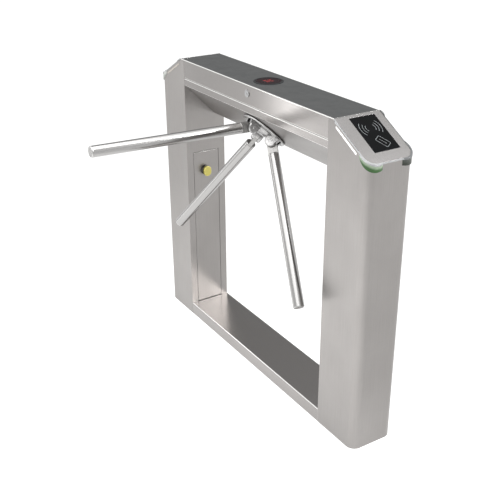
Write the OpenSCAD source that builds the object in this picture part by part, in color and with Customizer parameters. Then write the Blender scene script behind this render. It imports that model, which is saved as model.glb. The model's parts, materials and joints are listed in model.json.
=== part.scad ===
// Tripod turnstile with a bridge cabinet. X runs along the cabinet, the arms reach out towards -Y,
// Z is up and the origin is on the floor in the middle of the four anchor holes.

/* [Cabinet] */
// Length of the cabinet
cabinet_l = 1200; // [1000:10:1500]
// Width of the cabinet
cabinet_w = 160; // [156:1:200]
// Height to the top of the lid
cabinet_h = 1020; // [960:5:1100]
// Length of each column along the cabinet
column_l = 180; // [174:1:240]
// Radius of the columns' outer vertical corners
corner_r = 30; // [20:1:34]
// Thickness of the cabinet's sheet steel
sheet_t = 2; // [1.5:0.1:2.5]
// Outer radius of the sheets' folds
fold_r = 2.5; // [2:0.25:2.75]
// Height of the tread between the columns
tread_h = 48; // [40:1:80]
// Thickness of the floor plates
floor_plate_t = 6; // [4:0.5:10]
// Distance of the anchor holes from the cabinet's ends
anchor_in = 80; // [70:1:100]
// Anchor hole distance from the middle, across the cabinet
anchor_y = 45; // [35:1:50]
// Anchor hole diameter
anchor_d = 13; // [10:0.5:16]
// Cable entry diameter in each floor plate
cable_entry_d = 40; // [25:1:50]

/* [Reader ends] */
// Length of the sloped end, measured level
slope_run = 157; // [150:1:160]
// Drop of the sloped end
slope_drop = 88; // [70:1:100]
// Thickness of the sloped cover plate
head_t = 3; // [2:0.5:4]
// How far the edge trim stands out from the column
rim_proud = 1.25; // [1:0.25:2.5]
// Depth of the edge trim below the cover plate's face
rim_down = 3; // [2.5:0.5:5]
// How far the corner brows stand out from the column
brow_proud = 5; // [4.5:0.5:7]
// Height of the corner brows above the cover plate
brow_up = 1; // [0.5:0.25:3]
// Depth of the corner brows below the cover plate's face
brow_down = 3; // [3:0.5:6]
// Radius of the small brows at the top of the slope
top_brow_r = 12; // [8:1:16]
// How far the corner lens stands out
lens_proud = 4; // [3:0.25:4.5]
// Height of the corner lens below its brow
lens_h = 20; // [14:1:24]
// Radius of the lens's curved lower edge
lens_curve_r = 51; // [48:1:60]
// Shift of the curved lower edge towards the cabinet's end
lens_curve_shift = 18; // [12:1:22]
// Distance from the top of the slope to the side light strip
strip_from = 11; // [8:1:20]
// Distance from the side light strip to the column's end
strip_to_end = 55; // [50:1:70]
// Thickness of the side light strip
strip_t = 1.5; // [1:0.25:2.5]
// Height of the side light strip
strip_h = 5; // [3:0.5:8]
// Gap between the rim and the side light strip
strip_gap = 7; // [4:0.5:8]
// Length of the reader window down the slope
window_l = 133; // [110:1:140]
// Width of the reader window
window_w = 90; // [70:1:100]
// Distance from the top of the slope to the window
window_top = 10; // [8:1:20]
// Shift of the window towards the back
window_shift = 9; // [0:1:12]
// Depth of the reader module below the window
reader_t = 18; // [12:1:26]
// Margin of the reader module round the window
reader_margin = 5; // [4:0.5:8]

/* [Beam and lid] */
// Width and height of the cable way from each column into the beam
cable_way_w = 70; // [40:1:90]
// Distance from the lid's top down to the cable way
cable_way_drop = 40; // [30:1:60]
// Depth of the lid's front skirt, from the top
lid_skirt = 65; // [55:1:75]
// Height of the upright band below the skirt
band_h = 25; // [20:1:35]
// Height and depth of the 45 degree face
chamfer_leg = 118; // [112:1:124]
// Visible seam between the lid and the housing
seam = 1; // [0.6:0.1:1.5]
// Thickness of the lid plate
lid_t = 3; // [2.5:0.5:4]
// Depth of the inlaid dark sheet
panel_t = 1; // [0.5:0.25:1.5]
// Steel border left round the dark sheet
panel_border = 3; // [2:0.5:6]
// Depth of the lid's back flange, from the top
lid_back_flange = 14; // [12:1:20]
// Diameter of the indicator
indicator_d = 98; // [70:1:110]
// Height of the indicator's bezel above the lid
indicator_proud = 2; // [1:0.5:4]
// Width of the indicator's bezel ring
bezel_ring = 7; // [5:0.5:12]
// Depth of the indicator housing below the lid
indicator_depth = 16; // [12:1:30]
// Diameter of a hinge knuckle
knuckle_d = 7; // [6:0.5:9]
// Diameter of a hinge pin
hinge_pin_d = 3; // [2.5:0.25:4]
// Length of one lid hinge
hinge_l = 75; // [60:1:100]
// Distance between lid hinges
hinge_pitch = 330; // [250:5:360]
// Height of the lid lock above the skirt's lower edge
lid_lock_up = 37; // [32:1:42]

/* [Door and locks] */
// Width of the access door
door_w = 104; // [90:1:108]
// Height of the access door
door_h = 621; // [500:1:660]
// Gap round the access door
door_gap = 1.5; // [1:0.25:2.5]
// Gap between the tread and the door
door_foot_gap = 2; // [2:0.25:4]
// Depth of the door's folded edges
door_fold = 11; // [8:0.5:12]
// Height of the door hinge axis above the door's lower edge
door_axis_up = 6; // [5:0.5:8]
// Depth of the door hinge axis behind the face
door_axis_in = 6; // [5:0.5:8]
// Diameter of the door hinge stubs
door_pin_d = 4; // [3:0.5:5]
// Distance from the door's top edge down to its lock
door_lock_down = 74; // [60:1:100]
// Distance of the door lock from the door's middle, towards the front
door_lock_shift = 5; // [0:1:12]
// Bezel diameter of a lock
lock_bezel_d = 24; // [22:0.5:28]
// Barrel diameter of a lock
lock_barrel_d = 19; // [16:0.5:20]
// Plug diameter of a lock
lock_plug_d = 12; // [10:0.5:13]
// Cam length of the door lock
door_cam_l = 66; // [62:1:70]
// Cam length of the lid lock
lid_cam_l = 30; // [26:1:32]
// Width of the door knob
knob_w = 30; // [24:1:34]
// Height of the door knob
knob_h = 38; // [36:1:44]
// How far the door knob stands out of the door
knob_l = 21; // [18:1:30]
// Thickness of the knob's coloured cap
knob_cap_t = 6; // [4:0.5:8]

/* [Rotor] */
// Where the rotor axis crosses the 45 degree face, from the cabinet's middle
axis_y = -15; // [-20:1:-10]
// Radius of the hub casting's back disc
hub_r = 82; // [78:1:86]
// Gap between the hub and the housing
hub_gap = 2; // [1.5:0.25:4]
// Thickness of the hub's back disc
hub_disc_t = 6; // [5:0.5:7]
// Radius of the hub's domed middle
hub_dome_r = 46; // [44:1:50]
// Height of the hub's dome above the 45 degree face
hub_dome_h = 21; // [18:0.5:23]
// Distance of the arm pins from the rotor axis
pin_ring = 47; // [46:0.5:50]
// Depth behind the 45 degree face at which the three arm axes meet
apex_depth = 23.4; // [21:0.1:24]
// Diameter of the arm pins
arm_pin_d = 8; // [6:0.5:10]
// Radius of the fork lugs
lug_r = 20; // [18:0.5:21]
// Thickness of each fork lug
lug_t = 10; // [8:0.5:12]
// Height of the bevel round each lug
lug_bevel = 3; // [1:0.5:4]
// Thickness of the arm's tongue
tongue_t = 13; // [11:0.5:14]
// Play beside the tongue, on each side
tongue_play = 0.5; // [0.4:0.1:1]
// Angle between the rotor axis and each arm
arm_spread = 46.5; // [44:0.5:48]
// Outer diameter of the arm tube
arm_d = 35; // [32:0.5:38]
// Wall of the arm tube
arm_wall = 2; // [1.5:0.1:3]
// Half height of the tongue
tongue_r = 16.5; // [14:0.5:17]
// Length from the arm pin to the tip
arm_l = 550; // [450:1:600]
// Distance from the arm pin to the round collar
arm_collar_l = 42; // [40:0.5:43]
// Diameter of the round collar
arm_collar_d = 35; // [35:0.5:38]
// Distance from the arm pin to the start of the tube
arm_root_l = 46; // [46:1:60]
// Thickness of the tip cap
arm_cap_t = 5; // [4:0.5:8]

/* [Mechanism] */
// Thickness of the mechanism's front plate
mech_plate_t = 5; // [4:0.5:6]
// Thickness of the mechanism's rear plate
rear_plate_t = 4; // [3:0.5:5]
// Depth of the rear plate behind the 45 degree face
rear_plate_depth = 84; // [84:0.5:86]
// Radius of the bearing seats on the shaft
shaft_r = 12.5; // [12:0.1:12.6]
// Outer radius of the bearings
bearing_r = 23.5; // [22:0.5:25]
// Width of a bearing
bearing_t = 12; // [10:0.5:14]
// Tooth module of the drive gears
gear_module = 2; // [1.9:0.05:2.1]
// Teeth on the shaft's gear
gear_teeth = 48; // [48:1:48]
// Teeth on the motor's pinion
pinion_teeth = 16; // [16:1:16]
// Radius of the lock wheel
wheel_r = 44; // [42:0.5:45]
// Notches in the lock wheel
notch_count = 12; // [12:12:24]
// Width of a notch
notch_w = 10; // [9:0.5:11]
// Depth of a notch
notch_depth = 8; // [7:0.5:9]
// Turn of a locking pawl
pawl_turn = 15; // [14:0.5:16]
// Diameter of the solenoid plungers
plunger_d = 12; // [10:0.5:13]
// Radius of the encoder disc
encoder_r = 26; // [24:0.5:28]

/* [Hidden] */
$fn = 64;
fit_gap = 0.3;
run_fit = 0.05;
half_w = cabinet_w / 2;
anchor_x = cabinet_l / 2 - anchor_in;
column_x = cabinet_l / 2 - column_l;
flat_l = column_l - slope_run;
slope_a = atan2(slope_drop, slope_run);
slope_c = cos(slope_a);
skirt_z = cabinet_h - lid_skirt;
beam_top_z = skirt_z - seam;
band_z = skirt_z - band_h;
chamfer_y = chamfer_leg - half_w;
beam_bottom_z = band_z - chamfer_leg;
axis_z = band_z - half_w - axis_y;
hinge_y = half_w + knuckle_d / 2;
hinge_z = cabinet_h - lid_back_flange - 0.5;
hinge_seats = [-1, 0, 1];
door_z = tread_h + door_foot_gap;
door_lock_z = door_z + door_h - door_lock_down;
lid_lock_z = skirt_z + lid_lock_up;
lock_cam_t = 3;
lock_cam_w = 14;
bezel_t = 2.5;
barrel_l = 18;
catch_h = 22;
slot_w = tongue_t + 2 * tongue_play;
hub_top = hub_gap + hub_disc_t;
dome_h = hub_dome_h - hub_top;
dome_sphere_r = (hub_dome_r * hub_dome_r + dome_h * dome_h) / (2 * dome_h);
pin_h = pin_ring / tan(arm_spread) - apex_depth;
pin_head_r = 6;
pin_head_t = 1.2;
screw_r = 4.5;
plate_inset = 1;
screw_seat_t = 4.5;
screw_head_t = 2.5;
screw_socket_r = 2.5;
screw_ring = hub_r - 10;
cap_r = 14;
cap_seat = hub_dome_h - 1.8;
bore_r = 10;
tube_bore_r = arm_d / 2 - arm_wall;
spigot_l = 36;
arm_drop = 90;
screw_angle = 27;
gear_r = gear_module * gear_teeth / 2;
pinion_r = gear_module * pinion_teeth / 2;
gear_backlash = 0.35;
motor_y = gear_r + pinion_r;
plate_back = sheet_t + mech_plate_t;
pinion_phase = 180 / pinion_teeth;
gear_front = 50;
gear_t = 8;
wheel_front = 62;
wheel_t = 8;
encoder_front = 76;
pawl_x = wheel_r + 2;
pawl_y = 38;
pawl_tail = 26;
pawl_front = 60;
pawl_t = 12;
pawl_pin_r = 4;
tail_r = 3.8;
tail_rest_x = pawl_x - pawl_tail * sin(pawl_turn);
rod_y = pawl_y + pawl_tail;
rod_r = 2.5;
solenoid_x = 66;
solenoid_l = 38;
solenoid_w = 26;
standoff_x = 118;
board_back_x = 152;
board_post_l = 10;
board_t = 1.6;
supply_t = 40;
supply_h = 130;
steel = "#b9b8b5";
dark = "#66686a";
chrome = "#dcdcdc";

// Outline in Y and Z, drawn along X about the middle
module along_x(length) {
  rotate([90, 0, 90]) linear_extrude(length, center = true) children();
}

// Outline in X and Z, drawn along Y about the middle
module along_y(length) {
  rotate([90, 0, 0]) linear_extrude(length, center = true) children();
}

// Box from its low and high corners
module block(low, high) {
  translate(low) cube([high[0] - low[0], high[1] - low[1], high[2] - low[2]]);
}

// Takes an outline's corner down to a radius, with dx and dy pointing into the outline
module corner_cut(at, r, dx, dy) {
  translate(at) difference() {
    translate([dx * (r - 1) / 2, dy * (r - 1) / 2]) square(r + 1, center = true);
    translate([dx * r, dy * r]) circle(r);
  }
}

// Near end at +X, from the column's inner face; the far end is its mirror image
module near_end() {
  translate([column_x, 0, 0]) children();
}

module far_end() {
  mirror([1, 0, 0]) near_end() children();
}

// Plan of a column, grown outwards by a distance, with rounded outer corners
module column_plan(grow) {
  straight = column_l - corner_r;
  translate([-grow, -half_w - grow]) square([straight + grow, cabinet_w + 2 * grow]);
  translate([straight - 1, corner_r - half_w]) square([corner_r + grow + 1, cabinet_w - 2 * corner_r]);
  for (side = [-1, 1])
    translate([straight, side * (half_w - corner_r)]) circle(corner_r + grow);
}

function slope_z(x) = cabinet_h - (x - flat_l) * slope_drop / slope_run;

// Layer that lies along the slope between two heights square to it
module slope_layer(upper, lower, x_from, x_to) {
  along_y(2 * cabinet_w)
    polygon([[x_from, slope_z(x_from) + lower / slope_c], [x_to, slope_z(x_to) + lower / slope_c],
      [x_to, slope_z(x_to) + upper / slope_c], [x_from, slope_z(x_from) + upper / slope_c]]);
}

// Frame on the slope: X runs down it from its top edge, Z stands square to it
module on_slope() {
  translate([flat_l, 0, cabinet_h]) rotate([0, slope_a, 0]) children();
}

// Folded column shell, cut for the slope and for the cables' way into the beam
module column_shell() {
  difference() {
    linear_extrude(cabinet_h) difference() {
      column_plan(0);
      column_plan(-sheet_t);
    }
    slope_layer(2 * slope_drop, -head_t, flat_l, column_l + corner_r);
    block([-1, -cabinet_w, cabinet_h - lid_t - fit_gap], [flat_l + 0.01, cabinet_w, cabinet_h + 1]);
    block([-1, -cable_way_w / 2, cabinet_h - cable_way_drop - cable_way_w],
      [sheet_t + 1, cable_way_w / 2, cabinet_h - cable_way_drop]);
  }
}

// Far column: the shell with the door's opening and the catch that the lock's cam bears on
module far_column() {
  catch_y = door_w / 2 + door_gap + 1;
  color(steel) far_end() {
    difference() {
      column_shell();
      block([-1, -door_w / 2 - door_gap, tread_h - sheet_t],
        [sheet_t + 1, door_w / 2 + door_gap, door_z + door_h + door_gap]);
    }
    block([sheet_t, catch_y, door_lock_z - catch_h / 2],
      [barrel_l - fit_gap, catch_y + 12, door_lock_z + catch_h / 2]);
  }
}

module near_column() {
  color(steel) near_end() column_shell();
}

// Folded housing between the columns, open at the top
module beam_shell() {
  t = sheet_t;
  lean = t * (sqrt(2) - 1);
  back_z = cabinet_h - lid_back_flange - seam;
  color(steel) difference() {
    union() {
      along_x(2 * column_x) difference() {
        polygon([[-half_w, beam_top_z], [-half_w, band_z], [chamfer_y, beam_bottom_z],
          [half_w, beam_bottom_z], [half_w, back_z], [half_w - t, back_z],
          [half_w - t, beam_bottom_z + t], [chamfer_y + lean, beam_bottom_z + t],
          [t - half_w, band_z + lean], [t - half_w, beam_top_z - t], [14 - half_w, beam_top_z - t],
          [14 - half_w, beam_top_z]]);
        corner_cut([-half_w, beam_top_z], fold_r, 1, -1);
        corner_cut([half_w, beam_bottom_z], fold_r, -1, 1);
      }
      lid_keeper();
    }
    on_axis() translate([0, 0, -2 * t]) cylinder(h = 4 * t, r = bearing_r + 9);
  }
}

// Hooked bracket that the lid lock's cam turns under
module lid_keeper() {
  hook_z = lid_lock_z + lock_cam_w / 2 + 1;
  block([12, 14 - half_w, beam_top_z - sheet_t], [32, 16 - half_w, hook_z + 3]);
  block([12, 14 - half_w, hook_z], [32, 26 - half_w, hook_z + 3]);
}

// Low channel between the columns, open below, with three stiffening ribs
module base_tread() {
  t = sheet_t;
  color(steel) {
    along_x(2 * column_x) difference() {
      polygon([[-half_w, 0], [-half_w, tread_h], [half_w, tread_h], [half_w, 0], [half_w - t, 0],
        [half_w - t, tread_h - t], [t - half_w, tread_h - t], [t - half_w, 0]]);
      for (side = [-1, 1]) corner_cut([side * half_w, tread_h], fold_r, -side, -1);
    }
    for (x = [-0.5, 0, 0.5])
      translate([x * column_x, 0, tread_h / 2])
        cube([3, cabinet_w - 2 * t, tread_h - 2 * t], center = true);
  }
}

// Floor plates inside the columns, with the anchor holes and the cable entries
module base_plates() {
  color("#8a8c8e")
    for (side = [0, 1]) mirror([side, 0, 0]) difference() {
      near_end() linear_extrude(floor_plate_t) column_plan(-sheet_t - fit_gap);
      for (y = [-anchor_y, anchor_y])
        translate([anchor_x, y, -1]) cylinder(h = floor_plate_t + 2, d = anchor_d);
      translate([anchor_x, 0, -1]) cylinder(h = floor_plate_t + 2, d = cable_entry_d);
    }
}

// Lid plate with its front skirt and back flange, recessed for the dark sheet
module lid_cover() {
  lid_l = 2 * (column_x + flat_l - fit_gap);
  fold_l = 2 * (column_x - fit_gap);
  t = sheet_t;
  color(steel) difference() {
    union() {
      along_x(lid_l) difference() {
        translate([-half_w, cabinet_h - lid_t]) square([cabinet_w, lid_t]);
        for (side = [-1, 1]) corner_cut([side * half_w, cabinet_h], fold_r, -side, -1);
      }
      along_x(fold_l) difference() {
        polygon([[-half_w, cabinet_h - lid_t], [-half_w, skirt_z], [12 - half_w, skirt_z],
          [12 - half_w, skirt_z + t], [t - half_w, skirt_z + t], [t - half_w, cabinet_h - lid_t]]);
        corner_cut([-half_w, skirt_z], fold_r, 1, 1);
      }
      block([-fold_l / 2, half_w - t, cabinet_h - lid_back_flange],
        [fold_l / 2, half_w, cabinet_h - lid_t]);
      for (side = [-1, 1])
        translate([side * (fold_l / 2 - 3), 0, cabinet_h - lid_t - 9])
          cube([t, cabinet_w - 2 * t, 18], center = true);
    }
    translate([0, 0, cabinet_h])
      cube([lid_l - 2 * panel_border, cabinet_w - 2 * panel_border, 2 * panel_t], center = true);
    translate([0, 0, cabinet_h - lid_t - 1]) cylinder(h = lid_t + 2, d = indicator_d - 2 * bezel_ring + 4);
    lid_lock_seat() translate([0, 0, -1]) cylinder(h = 2 * barrel_l, d = lock_barrel_d + fit_gap);
  }
}

// Dark sheet let into the lid
module lid_panel() {
  lid_l = 2 * (column_x + flat_l - fit_gap);
  color(dark) difference() {
    translate([0, 0, cabinet_h - panel_t / 2])
      cube([lid_l - 2 * panel_border, cabinet_w - 2 * panel_border, panel_t], center = true);
    translate([0, 0, cabinet_h - lid_t]) cylinder(h = 2 * lid_t, d = indicator_d - 2 * bezel_ring + 4);
  }
}

// Frame of the lid lock: Z runs into the cabinet from the skirt's face
module lid_lock_seat() {
  translate([0, -half_w, lid_lock_z]) rotate([-90, 0, 0]) children();
}

// Places children at each lid hinge, with X along the pin
module lid_hinge_seats() {
  for (seat = hinge_seats) translate([seat * hinge_pitch, hinge_y, hinge_z]) children();
}

// Knuckles of one hinge leaf: every second piece along the pin
module hinge_knuckles(first) {
  piece = hinge_l / 5;
  for (i = [first : 2 : 4])
    translate([-hinge_l / 2 + i * piece + 0.2, 0, 0]) rotate([0, 90, 0]) difference() {
      cylinder(h = piece - 0.4, d = knuckle_d);
      translate([0, 0, -1]) cylinder(h = piece + 2, d = hinge_pin_d + 2 * run_fit);
    }
}

// Leaf that stands up or down from the knuckles on the cabinet's back
module hinge_leaf(first, from_z, to_z) {
  piece = hinge_l / 5;
  hinge_knuckles(first);
  difference() {
    union() {
      block([-hinge_l / 2, -knuckle_d / 2, from_z], [hinge_l / 2, 1.5 - knuckle_d / 2, to_z]);
      for (i = [first : 2 : 4])
        block([-hinge_l / 2 + i * piece + 0.2, -knuckle_d / 2, min(from_z, 0)],
          [-hinge_l / 2 + (i + 1) * piece - 0.2, 1.5 - knuckle_d / 2, max(to_z, 0)]);
    }
    translate([-hinge_l / 2 - 1, 0, 0]) rotate([0, 90, 0])
      cylinder(h = hinge_l + 2, d = hinge_pin_d + 2 * run_fit);
  }
}

module lid_hinge_fixed() {
  color(chrome) lid_hinge_seats() hinge_leaf(0, -24, -knuckle_d / 2 - 0.5);
}

module lid_hinge_moving() {
  color(chrome) lid_hinge_seats() hinge_leaf(1, knuckle_d / 2 + 0.5, lid_back_flange - 2);
}

module lid_hinge_pins() {
  color("#909090") lid_hinge_seats()
    translate([-hinge_l / 2 - 1, 0, 0]) rotate([0, 90, 0]) cylinder(h = hinge_l + 2, d = hinge_pin_d);
}

// Lock case in its own frame: Z runs inwards from the face of the sheet
module lock_body() {
  difference() {
    union() {
      translate([0, 0, -bezel_t]) cylinder(h = bezel_t, d = lock_bezel_d);
      cylinder(h = barrel_l, d = lock_barrel_d);
      translate([0, 0, sheet_t + fit_gap]) cylinder(h = 4, d = lock_bezel_d, $fn = 6);
    }
    translate([0, 0, -bezel_t - 1]) cylinder(h = barrel_l + bezel_t + 2, d = lock_plug_d + 2 * run_fit);
  }
}

// Turning plug with its cam, which points along +Y of the lock's frame
module lock_plug(cam_l) {
  difference() {
    translate([0, 0, -bezel_t - 0.5]) cylinder(h = barrel_l + bezel_t + 0.5, d = lock_plug_d);
    translate([0, 0, -bezel_t - 0.5]) cube([7, 1.4, 10], center = true);
  }
  translate([0, 0, barrel_l]) linear_extrude(lock_cam_t) {
    circle(d = lock_cam_w);
    translate([-lock_cam_w / 2, 0]) square([lock_cam_w, cam_l - lock_cam_w / 2]);
    translate([0, cam_l - lock_cam_w / 2]) circle(d = lock_cam_w);
  }
}

module lid_lock_body() {
  color(chrome) lid_lock_seat() lock_body();
}

module lid_lock_plug() {
  color(chrome) lid_lock_seat() lock_plug(lid_cam_l);
}

// Bezel ring with the round housing that hangs below the lid
module indicator_bezel() {
  outer_r = indicator_d / 2;
  tube_r = outer_r - bezel_ring + 2 - fit_gap;
  color("#303234") translate([0, 0, cabinet_h]) rotate_extrude()
    polygon([[outer_r, 0], [outer_r - 1, indicator_proud * 0.7],
      [outer_r - bezel_ring + 1, indicator_proud], [outer_r - bezel_ring, indicator_proud],
      [outer_r - bezel_ring, -indicator_depth + 2],
      [0, -indicator_depth + 2], [0, -indicator_depth], [tube_r, -indicator_depth], [tube_r, 0]]);
}

// Smoked lens with the lamps' carrier below it
module indicator_lens() {
  lens_r = indicator_d / 2 - bezel_ring - 0.2;
  color("#5a2a2a") translate([0, 0, cabinet_h]) rotate_extrude()
    polygon([[0, indicator_proud - 0.4], [lens_r - 1, indicator_proud - 0.8],
      [lens_r, indicator_proud - 1.4], [lens_r, -indicator_depth + 2],
      [lens_r - 3, -indicator_depth + 2], [lens_r - 3, -2], [0, -2]]);
}

// Door frame: the column's inner face, from the door's lower edge, X out of the cabinet
module door_place() {
  far_end() translate([0, 0, door_z]) children();
}

// Access door panel with folded edges, whose lower ends are the hinge ears
module door_panel() {
  t = sheet_t;
  fold_y = door_w / 2 - 5;
  ear_r = door_axis_in - 1;
  color(steel) door_place() difference() {
    union() {
      block([0, -door_w / 2, 0], [t, door_w / 2, door_h]);
      for (side = [-1, 1]) {
        block([t, side * fold_y - t / 2, door_axis_up], [t + door_fold, side * fold_y + t / 2, door_h - 4]);
        translate([door_axis_in, side * fold_y, door_axis_up]) rotate([90, 0, 0])
          cylinder(h = 5, r = ear_r, center = true);
        block([t, side * fold_y - 2.5, 2], [door_axis_in, side * fold_y + 2.5, door_axis_up + ear_r]);
      }
      block([t, -fold_y, door_h - 6], [t + door_fold, fold_y, door_h - 4]);
    }
    translate([door_axis_in, 0, door_axis_up]) rotate([90, 0, 0])
      cylinder(h = 2 * door_w, d = door_pin_d + 2 * run_fit, center = true);
    translate([-1, -door_lock_shift, door_h - door_lock_down]) rotate([0, 90, 0])
      cylinder(h = t + 2, d = lock_barrel_d + fit_gap);
  }
}

// Hinge brackets welded behind the wall on both sides of the door, with their stubs
module door_hinge_lugs() {
  inner_y = door_w / 2 + door_gap + 1;
  stub_y = door_w / 2 - 8;
  color("#8f9092") door_place() for (side = [0, 1]) mirror([0, side, 0]) {
    block([sheet_t, inner_y, -16], [sheet_t + door_axis_in + 4, inner_y + 4, door_axis_up + 8]);
    translate([door_axis_in, inner_y + 4, door_axis_up]) rotate([90, 0, 0])
      cylinder(h = inner_y + 4 - stub_y, d = door_pin_d);
  }
}

// Frame of a door lock: Z runs into the column from the door's face, +Y points down
module door_lock_seat() {
  translate([0, -door_lock_shift, door_lock_z]) rotate([-90, 0, -90]) children();
}

module door_lock_body() {
  color(chrome) far_end() door_lock_seat() lock_body();
}

module door_lock_plug() {
  color(chrome) far_end() door_lock_seat() lock_plug(door_cam_l);
}

// Outline of the door knob, two round ends joined, as seen from the passage
module knob_outline(grow) {
  reach = (knob_h - knob_w) / 2;
  for (end = [-reach, reach]) translate([0, end]) circle(d = knob_w + 2 * grow);
  square([knob_w + 2 * grow, 2 * reach], center = true);
}

// Turning knob on the lock's plug, with a round neck
module door_knob() {
  front = bezel_t + 0.5;
  color("#4a4620") far_end() door_lock_seat() {
    translate([0, 0, -front - 5]) cylinder(h = 5, r = lock_plug_d / 2 + 3);
    translate([0, 0, knob_cap_t - knob_l])
      linear_extrude(knob_l - knob_cap_t - front - 4.9) knob_outline(0);
  }
}

// Coloured cap on the knob, with a chamfer step round its face
module door_knob_cap() {
  color("#d8c832") far_end() door_lock_seat() {
    translate([0, 0, 1.5 - knob_l]) linear_extrude(knob_cap_t - 1.5) knob_outline(0);
    translate([0, 0, -knob_l]) linear_extrude(1.5) knob_outline(-1.5);
  }
}

// Ring that follows the column's plan and stands out by a thickness
module plan_ring(out) {
  linear_extrude(cabinet_h + corner_r) difference() {
    column_plan(out);
    column_plan(0);
  }
}

// Sloped cover plate with the reader's opening, and a narrow groove round its edge
module head_plate() {
  color(steel) difference() {
    intersection() {
      linear_extrude(cabinet_h + 1) column_plan(-plate_inset);
      slope_layer(0, -head_t, flat_l, column_l + 1);
    }
    on_slope() translate([window_top - fit_gap, window_shift - window_w / 2 - fit_gap, -2 * head_t])
      cube([window_l + 2 * fit_gap, window_w + 2 * fit_gap, 3 * head_t]);
  }
}

// Plan of the brows: a round at each corner that stands out past the column's sides
module brow_plan() {
  for (side = [-1, 1]) {
    translate([column_l - corner_r, side * (half_w - corner_r)]) circle(corner_r + brow_proud);
    translate([flat_l + top_brow_r, side * (half_w - top_brow_r)]) circle(top_brow_r + brow_proud);
  }
}

// Bright trim along the sloped end's edges, with a brow round each corner
module head_rim() {
  color(chrome) {
    intersection() {
      plan_ring(rim_proud);
      slope_layer(0, -rim_down, flat_l + fit_gap, column_l + corner_r);
    }
    intersection() {
      linear_extrude(cabinet_h + corner_r) difference() {
        brow_plan();
        column_plan(0);
      }
      slope_layer(brow_up, -brow_down, flat_l + fit_gap, column_l + corner_r);
    }
  }
}

// Glass of the reader window, 0.2 mm proud of the plate
module head_window() {
  color("#202224") on_slope() translate([window_top, window_shift - window_w / 2, -head_t])
    cube([window_l, window_w, head_t + 0.2]);
}

// Two crescent lenses that wrap the lower corners, seated up against their brows
module led_lenses() {
  curve_z = slope_z(column_l) - brow_down - lens_h + lens_curve_r;
  color("#4a9a4a") for (side = [-1, 1]) intersection() {
    linear_extrude(cabinet_h) difference() {
      translate([column_l - corner_r, side * (half_w - corner_r)]) circle(corner_r + lens_proud);
      column_plan(0);
    }
    slope_layer(-brow_down, -2 * slope_drop, flat_l, column_l + corner_r);
    translate([column_l - corner_r + lens_curve_shift * sin(45),
        side * (half_w - corner_r - lens_curve_shift * cos(45)), curve_z])
      rotate([0, 90, side * 45]) cylinder(h = 4 * corner_r, r = lens_curve_r, center = true);
  }
}

module near_head_plate() {
  near_end() head_plate();
}

module far_head_plate() {
  far_end() head_plate();
}

module near_head_rim() {
  near_end() head_rim();
}

module far_head_rim() {
  far_end() head_rim();
}

module near_window() {
  near_end() head_window();
}

module far_window() {
  far_end() head_window();
}

module near_led_lenses() {
  near_end() led_lenses();
}

module far_led_lenses() {
  far_end() led_lenses();
}

// Slim light strips on both sides of both ends
module side_strips() {
  upper = -rim_down - strip_gap;
  color("white") for (side = [0, 1]) mirror([side, 0, 0]) near_end() intersection() {
    plan_ring(strip_t);
    slope_layer(upper, upper - strip_h, flat_l + strip_from, column_l - strip_to_end);
  }
}

// Reader modules that carry the glass from below
module readers() {
  m = reader_margin;
  color("#2c2e30") for (side = [0, 1]) mirror([side, 0, 0]) near_end() on_slope()
    translate([window_top - m, window_shift - window_w / 2 - m, -head_t - reader_t])
      cube([window_l + 2 * m, window_w + 2 * m, reader_t]);
}

// Frame of the rotor: Z points out along its axis from the 45 degree face, Y points up and forwards
module on_axis() {
  translate([0, axis_y, axis_z]) rotate([135, 0, 0]) children();
}

// Frame of one arm's pin: X points out from the rotor axis, Y lies along the pin
module at_pin(arm) {
  on_axis() rotate([0, 0, 90 + 120 * (arm - 1)]) translate([pin_ring, 0, pin_h]) children();
}

// Frame of one arm: Z runs along it from the pin
module along_arm(arm) {
  at_pin(arm) rotate([0, arm_spread, 0]) children();
}

// Three-lobed casting: a back disc, a domed middle and a slotted fork for each arm
module hub_casting() {
  color(chrome) difference() {
    union() {
      on_axis() {
        rotate_extrude()
          polygon([[0, hub_gap], [hub_r - 1, hub_gap], [hub_r, hub_gap + 1], [hub_r, hub_top - 2],
            [hub_r - 2, hub_top], [0, hub_top]]);
        intersection() {
          translate([0, 0, hub_top - 1]) cylinder(h = dome_h + 2, r = hub_dome_r);
          translate([0, 0, hub_dome_h - dome_sphere_r]) sphere(dome_sphere_r);
        }
      }
      for (arm = [1 : 3]) at_pin(arm) for (side = [0, 1]) mirror([0, side, 0]) fork_lug();
    }
    for (arm = [1 : 3]) at_pin(arm) {
      along_y(slot_w) slot_outline();
      rotate([90, 0, 0]) cylinder(h = 2 * slot_w + 4 * lug_t, d = arm_pin_d + 0.04, center = true);
    }
    on_axis() cylinder(h = 4 * hub_dome_h, r = bore_r + run_fit, center = true);
    on_axis() translate([0, 0, cap_seat]) cylinder(h = hub_dome_h, r = cap_r + fit_gap);
    hub_screw_seats() cylinder(h = hub_top, r = screw_r + fit_gap);
  }
}

// One fork lug on the +Y side of its slot, bevelled round the outside
module fork_lug() {
  straight = lug_t - lug_bevel;
  translate([0, (slot_w + straight) / 2, 0]) along_y(straight) lug_outline(lug_r);
  translate([0, (slot_w + lug_t) / 2, 0]) along_y(lug_t) lug_outline(lug_r - lug_bevel);
  translate([0, slot_w / 2 + straight, 0]) rotate([-90, 0, 0])
    cylinder(h = lug_bevel, r1 = lug_r, r2 = lug_r - lug_bevel);
}

// Side view of a fork lug, round at the pin, with a foot that runs out into the disc
module lug_outline(r) {
  foot = hub_top - 1 - pin_h;
  circle(r);
  polygon([[-r, foot], [-r, 0], [r, 0], [r + 5, foot]]);
}

// Side view of the fork's slot: the tongue's place at rest and folded down
module slot_outline() {
  r = tongue_r + 0.4;
  circle(r);
  for (a = [-arm_spread, arm_drop - arm_spread]) rotate(a) translate([-r, 0]) square([2 * r, 3 * lug_r]);
}

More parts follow.
